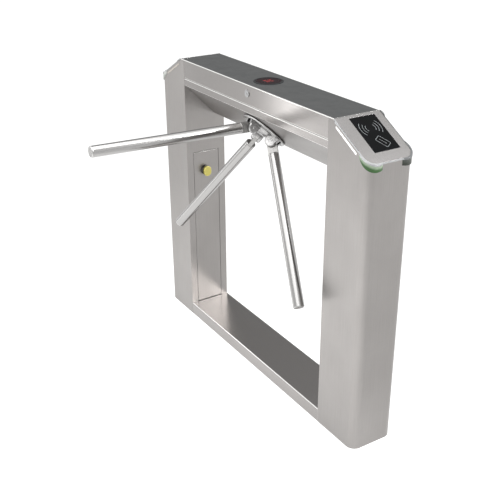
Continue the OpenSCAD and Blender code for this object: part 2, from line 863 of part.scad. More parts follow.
// Places children in the screw seats beside each fork, at the seat's floor
module hub_screw_seats() {
  on_axis() for (arm = [90 : 120 : 330], side = [-1, 1]) rotate([0, 0, arm + side * screw_angle])
    translate([screw_ring, 0, hub_top - screw_seat_t]) children();
}

// Socket screws in the disc, two beside each fork
module hub_screws() {
  color("#55575a") hub_screw_seats() difference() {
    cylinder(h = screw_head_t, r = screw_r);
    translate([0, 0, screw_head_t / 2]) cylinder(h = screw_head_t, r = screw_socket_r, $fn = 6);
  }
}

// Domed cap over the shaft's end
module hub_cap() {
  color(chrome) on_axis() rotate_extrude()
    polygon([[0, cap_seat], [cap_r, cap_seat], [cap_r, hub_dome_h + 0.2], [cap_r - 2, hub_dome_h + 1.6],
      [0, hub_dome_h + 2.4]]);
}

// Pins of the three arm forks, each with a round head
module arm_pins() {
  outer = slot_w / 2 + lug_t;
  color(chrome) for (arm = [1 : 3]) at_pin(arm) rotate([90, 0, 0]) {
    translate([0, 0, -outer]) cylinder(h = 2 * outer, d = arm_pin_d);
    for (side = [0, 1]) mirror([0, 0, side]) translate([0, 0, outer])
      cylinder(h = pin_head_t, r1 = pin_head_r, r2 = pin_head_r - 1.5);
  }
}

// Arm root: a bar with two milled flats for the fork, a round collar and a spigot for the tube
module knuckle(arm) {
  collar_r = arm_collar_d / 2;
  color(chrome) along_arm(arm) difference() {
    union() {
      intersection() {
        along_y(tongue_t) {
          circle(tongue_r);
          translate([-tongue_r, 0]) square([2 * tongue_r, arm_collar_l + 2]);
        }
        translate([0, 0, -lug_r]) cylinder(h = lug_r + arm_root_l, d = arm_d);
      }
      rotate_extrude()
        polygon([[0, arm_collar_l], [collar_r - 1.5, arm_collar_l], [collar_r, arm_collar_l + 1.5],
          [collar_r, arm_root_l - 1], [collar_r - 0.8, arm_root_l], [tube_bore_r - 0.1, arm_root_l],
          [tube_bore_r - 0.1, arm_root_l + spigot_l], [0, arm_root_l + spigot_l]]);
    }
    rotate([90, 0, 0]) cylinder(h = 2 * tongue_t, d = arm_pin_d + 2 * run_fit, center = true);
  }
}

module arm_tube(arm) {
  color(chrome) along_arm(arm) translate([0, 0, arm_root_l]) difference() {
    cylinder(h = arm_l - arm_root_l - arm_cap_t, d = arm_d);
    translate([0, 0, -1]) cylinder(h = arm_l, r = tube_bore_r);
  }
}

// Rounded tip cap with a plug that fits the tube
module arm_cap(arm) {
  r = arm_d / 2;
  base = arm_l - arm_cap_t;
  color(chrome) along_arm(arm) rotate_extrude()
    polygon([[0, base - 14], [tube_bore_r - 0.1, base - 14], [tube_bore_r - 0.1, base], [r, base],
      [r, arm_l - 3], [r - 0.9, arm_l - 0.9], [r - 3, arm_l], [0, arm_l]]);
}

module arm_1_knuckle() {
  knuckle(1);
}

module arm_1_tube() {
  arm_tube(1);
}

module arm_1_cap() {
  arm_cap(1);
}

module arm_2_knuckle() {
  knuckle(2);
}

module arm_2_tube() {
  arm_tube(2);
}

module arm_3_knuckle() {
  knuckle(3);
}

module arm_3_tube() {
  arm_tube(3);
}

module arm_2_3_caps() {
  for (arm = [2, 3]) arm_cap(arm);
}

// Stepped shaft from the hub back to the rear plate
module main_shaft() {
  color("#a8a8a8") on_axis() rotate_extrude()
    polygon([[0, cap_seat - fit_gap], [bore_r - 1, cap_seat - fit_gap], [bore_r, cap_seat - 2],
      [bore_r, hub_gap], [17, hub_gap], [17, -plate_back - 2], [shaft_r, -plate_back - 2], [shaft_r, -gear_front],
      [11, -gear_front], [11, -encoder_front], [10, -encoder_front],
      [10, -rear_plate_depth - rear_plate_t - 3], [9, -rear_plate_depth - rear_plate_t - 4],
      [0, -rear_plate_depth - rear_plate_t - 4]]);
}

function deg(angle) = angle * 180 / PI;

function involute(base_r, r) = deg(tan(acos(base_r / r))) - acos(base_r / r);

function polar(r, a) = [r * cos(a), r * sin(a)];

// Outline of an involute gear with a 20 degree pressure angle and one tooth on +X
function gear_outline(teeth, phase) =
  let (pitch_r = gear_module * teeth / 2, base_r = pitch_r * cos(20), tip_r = pitch_r + 0.9 * gear_module)
  let (root_r = pitch_r - 1.25 * gear_module, low_r = max(base_r, root_r) + 0.02)
  let (half = 90 / teeth + involute(base_r, pitch_r) - deg(gear_backlash / 2 / pitch_r))
  let (steps = [for (i = [0 : 3]) low_r + (tip_r - low_r) * i / 3])
  [for (k = [0 : teeth - 1])
    let (mid = phase + 360 * k / teeth)
    each concat([polar(root_r, mid - half - 0.4)],
      [for (r = steps) polar(r, mid - half + involute(base_r, r))],
      [for (i = [3 : -1 : 0]) polar(steps[i], mid + half - involute(base_r, steps[i]))],
      [polar(root_r, mid + half + 0.4)])];

// Gear on the main shaft, with its hub
module drive_gear() {
  color("#9a9c9e") on_axis() difference() {
    union() {
      translate([0, 0, -gear_front - gear_t]) linear_extrude(gear_t)
        polygon(gear_outline(gear_teeth, 0));
      translate([0, 0, -wheel_front + 0.1]) cylinder(h = wheel_front - gear_front - 0.1, r = 16);
    }
    translate([0, 0, -wheel_front]) cylinder(h = wheel_front, r = 11.02);
    for (a = [0 : 60 : 300]) rotate([0, 0, a]) translate([gear_r * 0.6, 0, -wheel_front])
      cylinder(h = wheel_front, r = gear_r * 0.15);
  }
}

// Wheel with square notches for the locking pawls
module lock_wheel() {
  color("#8c8e90") on_axis() difference() {
    union() {
      translate([0, 0, -wheel_front - wheel_t]) linear_extrude(wheel_t) difference() {
        circle(wheel_r);
        for (i = [0 : notch_count - 1]) rotate(i * 360 / notch_count)
          translate([wheel_r - notch_depth, -notch_w / 2]) square([notch_w, notch_w]);
      }
      translate([0, 0, -encoder_front + 0.1]) cylinder(h = encoder_front - wheel_front - 0.1, r = 14);
    }
    translate([0, 0, -encoder_front]) cylinder(h = encoder_front, r = 11.02);
    for (a = [15 : 60 : 345]) rotate([0, 0, a]) translate([wheel_r * 0.58, 0, -encoder_front])
      cylinder(h = encoder_front, r = 5);
  }
}

// Thin slotted disc that the sensor reads
module encoder_disc() {
  color("#4a4c50") on_axis() difference() {
    union() {
      translate([0, 0, -encoder_front - 2]) linear_extrude(2) difference() {
        circle(encoder_r);
        for (a = [0 : 30 : 330]) rotate(a) translate([encoder_r - 6, -1.5]) square([4, 3]);
      }
      translate([0, 0, -encoder_front - 6]) cylinder(h = 6, r = 13);
    }
    translate([0, 0, -encoder_front - 7]) cylinder(h = 8, r = 10.02);
  }
}

// Front plate on the 45 degree face, with the pawls' pivot posts
module mech_front_plate() {
  color("#74777a") on_axis() {
    difference() {
      block([-130, -60, -plate_back], [130, 84, -sheet_t]);
      translate([0, 0, -plate_back - 1]) cylinder(h = plate_back, r = bearing_r + 8 + fit_gap);
    }
    for (side = [-1, 1]) translate([side * pawl_x, pawl_y, 0]) {
      translate([0, 0, -pawl_front + 0.3]) cylinder(h = pawl_front - 0.3 - plate_back, r = 6);
      translate([0, 0, -pawl_front - pawl_t - 1]) cylinder(h = pawl_t + 2, r = pawl_pin_r);
    }
  }
}

// Rear plate on four standoffs, with the encoder's sensor fork
module mech_rear_plate() {
  color("#74777a") on_axis() {
    difference() {
      block([-standoff_x - 10, -36, -rear_plate_depth - rear_plate_t],
        [standoff_x + 10, 50, -rear_plate_depth]);
      translate([0, 0, -rear_plate_depth - rear_plate_t - 1]) cylinder(h = rear_plate_t + 2, r = 14 + 0.02);
    }
    for (x = [-standoff_x, standoff_x], y = [-27, 40])
      translate([x, y, -rear_plate_depth]) cylinder(h = rear_plate_depth - plate_back, r = 6);
    difference() {
      block([-8, 18, -rear_plate_depth], [8, 34, -encoder_front + 3.5]);
      block([-9, 17, -encoder_front - 3.2], [9, encoder_r + 2, -encoder_front + 1.2]);
    }
  }
}

// Flanged housing of the two shaft bearings
module bearing_housing() {
  outer = bearing_r + 8;
  back = gear_front - 1.5;
  color("#83868a") on_axis() rotate_extrude()
    polygon([[19, -sheet_t - 1], [outer, -sheet_t - 1], [outer, -plate_back], [42, -plate_back],
      [42, -plate_back - 8], [outer, -plate_back - 8], [outer, -back], [bearing_r + 0.02, -back],
      [bearing_r + 0.02, -plate_back - 2], [19, -plate_back - 2]]);
}

// One ball bearing as a shielded ring
module bearing_ring(inner, outer, width) {
  groove = (outer - inner) * 0.3;
  rotate_extrude()
    polygon([[inner, 0], [inner + groove, 0], [inner + groove, 0.6], [outer - groove, 0.6],
      [outer - groove, 0], [outer, 0], [outer, width], [outer - groove, width], [outer - groove, width - 0.6],
      [inner + groove, width - 0.6], [inner + groove, width], [inner, width]]);
}

// Two bearings in the housing and a small one in the rear plate
module bearings() {
  color("#c8c8c8") on_axis() {
    for (z = [-plate_back - 2 - bearing_t, -gear_front + 1.6]) translate([0, 0, z])
      bearing_ring(shaft_r + run_fit, bearing_r, bearing_t);
    translate([0, 0, -rear_plate_depth - rear_plate_t]) bearing_ring(10 + run_fit, 14, rear_plate_t);
  }
}

// Geared motor against the front plate, with its shaft
module drive_motor() {
  color("#3c3f42") on_axis() translate([0, motor_y, 0]) {
    translate([0, 0, -plate_back - 40]) cylinder(h = 40, r = 19.5);
    translate([0, 0, -gear_front + 1]) cylinder(h = gear_front - 1 - plate_back - 39, r = 7);
    translate([0, 0, -gear_front - gear_t - 1]) cylinder(h = gear_t + 3, r = 3);
  }
}

module drive_pinion() {
  color("#b0a060") on_axis() translate([0, motor_y, -gear_front - gear_t]) difference() {
    linear_extrude(gear_t) polygon(gear_outline(pinion_teeth, 270 + pinion_phase));
    translate([0, 0, -1]) cylinder(h = gear_t + 2, r = 3 + run_fit);
  }
}

// Locking pawl on the +X side, drawn engaged and turned back to its released place
module pawl() {
  on_axis() translate([pawl_x, pawl_y, -pawl_front - pawl_t]) rotate([0, 0, pawl_turn])
    translate([-pawl_x, -pawl_y, 0]) difference() {
      linear_extrude(pawl_t) {
        translate([pawl_x, pawl_y]) circle(9);
        polygon([[pawl_x - 5, pawl_y], [pawl_x + 5, pawl_y], [pawl_x + 2, rod_y], [pawl_x - 2, rod_y]]);
        translate([pawl_x, rod_y]) circle(tail_r);
        polygon([[pawl_x - 1, pawl_y - 5], [pawl_x + 6, pawl_y - 2], [wheel_r + 16, -5], [wheel_r + 4, -6],
          [wheel_r + 4, 8]]);
        polygon([[wheel_r - 7, -3.2], [wheel_r - 7, 3.2], [wheel_r + 6, 4.3], [wheel_r + 6, -4.3]]);
      }
      translate([pawl_x, pawl_y, -1]) cylinder(h = pawl_t + 2, r = pawl_pin_r + run_fit);
      translate([pawl_x - 10, rod_y - 8, pawl_t / 2 - rod_r - 0.5]) cube([20, 20, 2 * rod_r + 1]);
    }
}

module pawl_right() {
  color("#a0a2a4") pawl();
}

module pawl_left() {
  color("#a0a2a4") mirror([1, 0, 0]) pawl();
}

// Solenoid plunger with the two collars that hold the pawl's tail
module plunger() {
  collar = tail_r + 0.5;
  on_axis() translate([0, rod_y, -pawl_front - pawl_t / 2]) rotate([0, 90, 0]) {
    translate([0, 0, tail_rest_x - collar - 4]) cylinder(h = solenoid_x - tail_rest_x + collar, r = rod_r);
    for (z = [tail_rest_x - collar - 2, tail_rest_x + collar]) translate([0, 0, z]) cylinder(h = 2, r = 5);
    translate([0, 0, solenoid_x - 5]) cylinder(h = 30, d = plunger_d);
  }
}

module plunger_right() {
  color("#c0c0c0") plunger();
}

module plunger_left() {
  color("#c0c0c0") mirror([1, 0, 0]) plunger();
}

// Both solenoids, each on its folded bracket from the front plate
module solenoids() {
  half = solenoid_w / 2;
  mid = -pawl_front - pawl_t / 2;
  color("#4c5054") for (side = [0, 1]) mirror([side, 0, 0]) on_axis() {
    difference() {
      block([solenoid_x, rod_y - half, mid - half], [solenoid_x + solenoid_l, rod_y + half, mid + half]);
      translate([solenoid_x - 1, rod_y, mid]) rotate([0, 90, 0])
        cylinder(h = solenoid_l - 3, d = plunger_d + 2 * run_fit);
    }
    block([solenoid_x, rod_y - half - 3, mid - half], [solenoid_x + solenoid_l, rod_y - half, -plate_back]);
    block([solenoid_x, rod_y - half, -plate_back - 3],
      [solenoid_x + solenoid_l, rod_y + half - 2, -plate_back]);
  }
}

// Back panel inside the far column with the controller board, its terminals and relays
module control_board() {
  panel_z = door_z + 240;
  panel_h = 360;
  board_z = panel_z + 185;
  board_h = 150;
  board_w = 100;
  board_x = board_back_x - board_post_l;
  face_x = board_x - board_t;
  half_panel = half_w - sheet_t - fit_gap;
  color("#2f6b45") far_end() {
    difference() {
      block([board_back_x, -half_panel, panel_z], [board_back_x + sheet_t, half_panel, panel_z + panel_h]);
      for (y = [-50, 50], z = [panel_z + 20, panel_z + panel_h - 20])
        translate([board_back_x - 1, y, z]) rotate([0, 90, 0]) cylinder(h = sheet_t + 2, d = 5);
    }
    for (y = [8 - board_w / 2, board_w / 2 - 8], z = [board_z + 7, board_z + board_h - 7])
      translate([board_x, y, z]) rotate([0, 90, 0]) cylinder(h = board_post_l, r = 3);
    block([face_x, -board_w / 2, board_z], [board_x, board_w / 2, board_z + board_h]);
    for (i = [0 : 5])
      translate([face_x, 15 * i - 46, board_z + 3]) block([-12.4, 0, 0], [0, 12, 12]);
    for (i = [0 : 3])
      translate([face_x, 20 * i - 40, board_z + board_h - 29]) block([-15.4, 0, 0], [0, 15, 19]);
    translate([face_x, -12, board_z + 55]) block([-3, 0, 0], [0, 28, 28]);
    for (y = [-36, 36]) translate([face_x, y, board_z + 85]) rotate([0, -90, 0])
      cylinder(h = 18.4, r = 7);
  }
}

// Switched supply in a folded case below the controller
module power_supply() {
  low = door_z + 260;
  front_x = board_back_x - supply_t;
  half_supply = 49;
  vent_low = low + 30;
  color("#a4a6a8") far_end() difference() {
    block([front_x, -half_supply, low], [board_back_x, half_supply, low + supply_h]);
    for (i = [0 : 8]) translate([front_x, 8 * i - 36, 0]) block([-1, 0, vent_low], [2, 4, vent_low + 70]);
    block([front_x - 1, 5 - half_supply, low + 6], [front_x + 16, half_supply - 5, low + 20]);
  }
}

far_column();
near_column();
beam_shell();
base_tread();
base_plates();
lid_cover();
lid_panel();
lid_hinge_fixed();
lid_hinge_moving();
lid_hinge_pins();
lid_lock_body();
lid_lock_plug();
indicator_bezel();
indicator_lens();
door_panel();
door_hinge_lugs();
door_lock_body();
door_lock_plug();
door_knob();
door_knob_cap();
near_head_plate();
near_head_rim();
near_window();
near_led_lenses();
far_head_plate();
far_head_rim();
far_window();
far_led_lenses();
side_strips();
readers();
hub_casting();
hub_cap();
hub_screws();
arm_pins();
arm_1_knuckle();
arm_1_tube();
arm_1_cap();
arm_2_knuckle();
arm_2_tube();
arm_3_knuckle();
arm_3_tube();
arm_2_3_caps();
main_shaft();
drive_gear();
lock_wheel();
encoder_disc();
mech_front_plate();
mech_rear_plate();
bearing_housing();
bearings();
drive_motor();
drive_pinion();
pawl_left();
pawl_right();
plunger_left();
plunger_right();
solenoids();
control_board();
power_supply();
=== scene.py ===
"""A three-arm turnstile on a cabinet of brushed stainless steel, dressed for its portrait."""

import json
from math import atan2, pi, radians

import bmesh
import bpy
import numpy as np
from mathutils import Matrix, Vector

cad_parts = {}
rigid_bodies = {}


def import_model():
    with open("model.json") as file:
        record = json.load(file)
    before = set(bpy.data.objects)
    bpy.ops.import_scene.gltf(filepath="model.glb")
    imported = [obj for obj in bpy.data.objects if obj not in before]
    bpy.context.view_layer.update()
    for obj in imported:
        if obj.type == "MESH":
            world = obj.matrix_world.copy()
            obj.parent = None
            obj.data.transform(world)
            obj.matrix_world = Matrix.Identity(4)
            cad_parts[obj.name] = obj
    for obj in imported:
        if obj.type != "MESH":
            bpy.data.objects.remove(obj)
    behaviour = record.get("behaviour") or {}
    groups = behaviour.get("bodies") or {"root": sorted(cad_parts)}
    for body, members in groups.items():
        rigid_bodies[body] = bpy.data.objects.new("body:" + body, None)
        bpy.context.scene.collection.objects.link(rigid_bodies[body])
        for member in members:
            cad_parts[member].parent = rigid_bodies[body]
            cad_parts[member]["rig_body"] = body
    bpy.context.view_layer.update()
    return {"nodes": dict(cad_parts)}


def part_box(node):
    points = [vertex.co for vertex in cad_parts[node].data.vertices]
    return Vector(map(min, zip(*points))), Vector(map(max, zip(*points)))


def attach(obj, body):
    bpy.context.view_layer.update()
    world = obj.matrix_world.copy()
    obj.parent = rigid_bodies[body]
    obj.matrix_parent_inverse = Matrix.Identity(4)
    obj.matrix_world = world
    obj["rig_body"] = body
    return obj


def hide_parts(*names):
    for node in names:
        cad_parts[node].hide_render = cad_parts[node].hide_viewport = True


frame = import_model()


# Camera: the photograph was taken from the reader end, a little above the cabinet,
# with a long lens. The field of view and the three angles come from the cabinet's edges.
CAMERA_AT = (2.1603, -1.4312, 1.6613)
TURNED_LEFT, LOOKS_DOWN, LEANS = 57.82, 25.44, -0.234
FOCAL_LENGTH_MM, SENSOR_WIDTH_MM = 59.51, 36.0

scene = bpy.context.scene
camera_data = bpy.data.cameras.new("portrait_camera")
camera_data.lens = FOCAL_LENGTH_MM
camera_data.sensor_width = SENSOR_WIDTH_MM
camera = bpy.data.objects.new("portrait_camera", camera_data)
camera.matrix_world = (
    Matrix.Translation(CAMERA_AT)
    @ Matrix.Rotation(radians(TURNED_LEFT), 4, "Z")
    @ Matrix.Rotation(radians(90 - LOOKS_DOWN), 4, "X")
    @ Matrix.Rotation(radians(LEANS), 4, "Z")
)
scene.collection.objects.link(camera)
scene.camera = camera


# Studio: a pale seamless floor under a bright sky, as in a shop's cut-out picture. The sky has a
# dark card behind the object, a bright band to its left and a brighter dome. One soft box hangs
# over the lane, two stand to its left, and two stand behind.
FLOOR_LIGHT, FLOOR_DARK, FLOOR_GLOW = "#808080", "#7A7A79", 0.77
FLOOR_HALF_WIDTH, FLOOR_MOTTLE = 16.0, 0.25
POOL_AT, POOL_FULL, POOL_END, POOL_GLOW = (0.1, -1.7, 0.0), 1.2, 2.3, 0.64
SHADE_AT, SHADE_FULL, SHADE_END, SHADE_DEPTH = (1.0, 0.9, 0.0), 0.7, 1.8, 0.08
SKY, CARD, SIDE, DOME = 1.18, 0.44, 1.7, 2.3
DOME_FROM, DOME_EDGE, BAND_EDGE = 57.0, 5.0, 4.0
CARD_RIGHT, CARD_LEFT, CARD_LOW, CARD_TOP = 32.0, 76.0, -90.0, 42.0
SIDE_RIGHT, SIDE_LEFT, SIDE_LOW, SIDE_TOP = 88.0, 124.0, 18.0, 52.0
SOFT_BOXES = (  # name, place, aim, size in metres, watts
    ("box_over_lane", (0.3, -1.1, 2.5), (0.2, -0.7, 0), (3.2, 3.2), 60),
    ("slim_box_left", (-2.06, -1.7, 0.62), (0.21, -0.08, 0.62), (0.12, 1.1), 1.5),
    ("wide_box_left", (-1.74, -1.7, 0.62), (0.33, -0.08, 0.62), (0.4, 1.1), 1.6),
    ("box_back_right", (3.3, 2.5, 2.6), (-0.42, 0.0, 0.1), (1.2, 1.3), 140),
    ("box_back_top", (1.3, 1.4, 3.1), (0, -0.4, 0.85), (1.5, 1.2), 20),
)


def linear(hex_colour):
    """A colour written in sRGB hex, as linear RGBA."""
    parts = [int(hex_colour[i:i + 2], 16) / 255 for i in (1, 3, 5)]
    return [c / 12.92 if c <= 0.04045 else ((c + 0.055) / 1.055) ** 2.4 for c in parts] + [1.0]


def add(tree, kind, inputs=None, **settings):
    """Adds a node. Each input is a value, or the output socket that it is linked to."""
    node = tree.nodes.new(kind)
    for key, value in settings.items():
        setattr(node, key, value)
    for key, value in (inputs or {}).items():
        if isinstance(value, bpy.types.NodeSocket):
            tree.links.new(value, node.inputs[key])
        else:
            node.inputs[key].default_value = value
    return node


def new_material(name):
    """An empty material, and its node tree."""
    material = bpy.data.materials.new(name)
    material.use_nodes = True
    material.node_tree.nodes.clear()
    return material, material.node_tree


def surface(tree, shader):
    """Joins a shader to the material's output."""
    add(tree, "ShaderNodeOutputMaterial", {"Surface": shader.outputs[0]})


def soft_box(name, place, aim, size, watts):
    """A rectangular lamp at a place, turned to an aim point."""
    lamp = bpy.data.lights.new(name, "AREA")
    lamp.shape = "RECTANGLE"
    lamp.size, lamp.size_y = size
    lamp.energy = watts
    box = bpy.data.objects.new(name, lamp)
    away = (Vector(place) - Vector(aim)).to_track_quat("Z", "Y")
    box.matrix_world = Matrix.Translation(place) @ away.to_matrix().to_4x4()
    scene.collection.objects.link(box)


scene.view_settings.view_transform = "Standard"
scene.world = bpy.data.worlds.new("studio_sky")
scene.world.use_nodes = True
sky = scene.world.node_tree
direction = add(sky, "ShaderNodeTexCoord")
toward = add(sky, "ShaderNodeSeparateXYZ", {0: direction.outputs["Generated"]})
westward = add(sky, "ShaderNodeMath", {0: toward.outputs["X"], 1: -1.0}, operation="MULTIPLY")
turn = add(sky, "ShaderNodeMath", {0: westward.outputs[0], 1: toward.outputs["Y"]},
           operation="ARCTAN2").outputs[0]
height = add(sky, "ShaderNodeMath", {0: toward.outputs["Z"]}, operation="ARCSINE").outputs[0]


def past_edge(angle, edge, width):
    """Rises from 0 to 1 where an angle passes an edge. Edge and width are in degrees."""
    return add(sky, "ShaderNodeMapRange", {
        "Value": angle, "From Min": radians(edge - width), "From Max": radians(edge + width)},
        interpolation_type="SMOOTHSTEP").outputs["Result"]


def between(angle, low, high):
    """1 where an angle lies between two edges in degrees, and 0 outside them."""
    rise, fall = (past_edge(angle, edge, BAND_EDGE) for edge in (low, high))
    return add(sky, "ShaderNodeMath", {0: rise, 1: fall}, operation="SUBTRACT").outputs[0]


def sky_field(right, left, low, top, level):
    """What a field of the sky between four angles adds to the plain sky, to reach its level."""
    inside = add(sky, "ShaderNodeMath", {
        0: between(turn, right, left), 1: between(height, low, top)}, operation="MULTIPLY")
    return add(sky, "ShaderNodeMath", {0: inside.outputs[0], 1: level - SKY},
               operation="MULTIPLY").outputs[0]


card_field = sky_field(CARD_RIGHT, CARD_LEFT, CARD_LOW, CARD_TOP, CARD)
side_field = sky_field(SIDE_RIGHT, SIDE_LEFT, SIDE_LOW, SIDE_TOP, SIDE)
dome_field = add(sky, "ShaderNodeMath", {
    0: past_edge(height, DOME_FROM, DOME_EDGE), 1: DOME - SKY}, operation="MULTIPLY").outputs[0]
sky_glow = card_field
for field in (side_field, dome_field, SKY):
    sky_glow = add(sky, "ShaderNodeMath", {0: sky_glow, 1: field}, operation="ADD").outputs[0]
sky.links.new(sky_glow, sky.nodes["Background"].inputs["Strength"])
sky.nodes["Background"].inputs["Color"].default_value = (1, 1, 1, 1)
for lamp_values in SOFT_BOXES:
    soft_box(*lamp_values)

floor_mesh = bpy.data.meshes.new("studio_floor")
bm = bmesh.new()
bmesh.ops.create_grid(bm, x_segments=2, y_segments=2, size=FLOOR_HALF_WIDTH)
bm.to_mesh(floor_mesh)
bm.free()
floor_paint, tree = new_material("matt_studio_paint")
mottle = add(tree, "ShaderNodeTexNoise", {"Scale": 1 / FLOOR_MOTTLE, "Detail": 3.0})
tint = add(tree, "ShaderNodeMixRGB", {
    "Fac": mottle.outputs["Fac"], "Color1": linear(FLOOR_DARK), "Color2": linear(FLOOR_LIGHT)})
place = add(tree, "ShaderNodeTexCoord")


def floor_patch(centre, full, end, strength):
    """A round patch on the floor that fades out between two distances."""
    apart = add(tree, "ShaderNodeVectorMath", {0: place.outputs["Object"], 1: centre},
                operation="DISTANCE")
    return add(tree, "ShaderNodeMapRange", {
        "Value": apart.outputs["Value"], "From Min": full, "From Max": end,
        "To Min": strength, "To Max": 0.0}, interpolation_type="SMOOTHSTEP").outputs["Result"]


# The floor's glow is painted uneven: a pool of painted light in front of the cabinet, and a painted
# shadow behind its near end.
pool = floor_patch(POOL_AT, POOL_FULL, POOL_END, POOL_GLOW)
shade = floor_patch(SHADE_AT, SHADE_FULL, SHADE_END, -SHADE_DEPTH)
patches = add(tree, "ShaderNodeMath", {0: pool, 1: shade}, operation="ADD")
glow = add(tree, "ShaderNodeMath", {0: patches.outputs[0], 1: FLOOR_GLOW}, operation="ADD")
surface(tree, add(tree, "ShaderNodeBsdfPrincipled", {
    "Base Color": tint.outputs[0], "Roughness": 0.95, "Specular IOR Level": 0.1,
    "Emission Color": linear("#FFFFFF"), "Emission Strength": glow.outputs[0]}))
floor_mesh.materials.append(floor_paint)
floor = bpy.data.objects.new("studio_floor", floor_mesh)
scene.collection.objects.link(floor)


# Cabinet shells: 2 mm sheets of 304 stainless steel, folded, welded and ground flush.
# The brushed grain runs up the columns and along the beam. The edges and folds are drawn
# bright, partly as polish from handling and partly as painted highlight.
# The real grain is about 0.1 mm wide, and is drawn coarser so that it shows.
MM = 0.001
LENGTHWISE, UPWARD = (1, 0, 0), (0, 0, 1)
MERGED_WITHIN, FLAT_WITHIN, SHARP_FROM = 0.002 * MM, radians(0.4), radians(32.0)
EDGE_RADIUS = 0.8 * MM
FOLD_STRIP, FOLD_SHORTEST = 1.6 * MM, 200 * MM
STEEL_LIGHT, STEEL_DARK, STEEL_EDGE = "#989593", "#8E8B89", "#D6D5D3"
GRAIN_WIDTH, GRAIN_LENGTH, GRAIN_DEPTH = 1.6 * MM, 160 * MM, 0.02 * MM
GRAIN_LEAST_ALONG = 0.2
SMUDGE_SIZE = 200 * MM
TONES_FROM, TONES_TO = 0.6, 1.4
SHINE_SPREAD = 0.05
PLATE_GRAIN_FALL = 0.5
CHAMFER_FACING = -0.4

nodes = frame["nodes"]


def dissolved(source):
    """A merged copy of a mesh, with the triangles of each flat face joined."""
    bm = bmesh.new()
    bm.from_mesh(source)
    bmesh.ops.remove_doubles(bm, verts=bm.verts, dist=MERGED_WITHIN)
    bmesh.ops.dissolve_limit(
        bm, angle_limit=FLAT_WITHIN, verts=bm.verts, edges=bm.edges, use_dissolve_boundaries=False)
    return bm


def mark_grain(bm, along):
    """Writes a UV map in metres: U runs along the brushed grain and V runs across it."""
    layer = bm.loops.layers.uv.new("grain")
    along = Vector(along).normalized()
    for face in bm.faces:
        ahead = along - face.normal * along.dot(face.normal)
        if ahead.length < GRAIN_LEAST_ALONG:
            ahead = face.normal.orthogonal()
        ahead.normalize()
        across = face.normal.cross(ahead)
        for loop in face.loops:
            loop[layer].uv = (loop.vert.co.dot(ahead), loop.vert.co.dot(across))


def round_edges(bm, radius, segments, wear_and_sheen):
    """Rounds the sharp edges, and marks how bright the new faces are drawn, as wear and painted
    highlight.
    """
    wear_sheen = bm.faces.layers.float.new("edge_wear_and_sheen")
    edges = [e for e in bm.edges if e.is_manifold and e.calc_face_angle(0) > SHARP_FROM]
    made = bmesh.ops.bevel(
        bm, geom=edges, offset=radius, offset_type="OFFSET", segments=segments, profile=0.5,
        affect="EDGES", clamp_overlap=True, material=-1, loop_slide=True)
    for face in made["faces"]:
        face[wear_sheen] = wear_and_sheen


def polish_and_highlight_folds(bm):
    """Marks the narrow strips outside each fold as drawn bright, partly as polish from hands and
    cloths and partly as painted highlight along the fold.
    """
    wear_sheen = bm.faces.layers.float["edge_wear_and_sheen"]
    points = np.array([vert.co for vert in bm.verts])
    middle = Vector((points.min(axis=0) + points.max(axis=0)) / 2)
    for face in bm.faces:
        longest = max(edge.calc_length() for edge in face.edges)
        outside = face.normal.dot(face.calc_center_median() - middle) > 0
        if outside and face.calc_area() < FOLD_STRIP * longest and longest > FOLD_SHORTEST:
            face[wear_sheen] = 1.0


def keep_mesh(bm, name, material):
    """Turns a bmesh into an object with one material, smooth up to the sharp angle."""
    mesh = bpy.data.meshes.new(name)
    bm.to_mesh(mesh)
    bm.free()
    mesh.materials.append(material)
    mesh.polygons.foreach_set("use_smooth", [True] * len(mesh.polygons))
    mesh.set_sharp_from_angle(angle=SHARP_FROM)
    piece = bpy.data.objects.new(name, mesh)
    scene.collection.objects.link(piece)
    flat = piece.modifiers.new("flat_faces", "WEIGHTED_NORMAL")
    flat.keep_sharp = True
    flat.weight = 100
    return piece


def finished(name, material, along=UPWARD, radius=EDGE_RADIUS, segments=2, wear_and_sheen=1.0,
             folds=False, mark=mark_grain, others=(), pick=None):
    """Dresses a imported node. Its sharp edges are rounded, as those of folded or ground metal
    are. With other materials, pick tells from a face which one it has."""
    source = nodes[name]
    bm = dissolved(source.data)
    round_edges(bm, radius, segments, wear_and_sheen)
    if folds:
        polish_and_highlight_folds(bm)
    mark(bm, along)
    if pick:
        for face in bm.faces:
            face.material_index = pick(face)
    piece = keep_mesh(bm, name + "_finished", material)
    for other in others:
        piece.data.materials.append(other)
    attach(piece, source["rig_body"])
    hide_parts(name)


def wear_and_sheen_to(tree, tint, edge):
    """A tint that turns into another colour on the marked edges, partly wear and partly painted
    highlight.
    """
    wear_sheen = add(tree, "ShaderNodeAttribute", attribute_name="edge_wear_and_sheen")
    return add(tree, "ShaderNodeMixRGB", {
        "Fac": wear_sheen.outputs["Fac"], "Color1": tint.outputs[0], "Color2": linear(edge)})


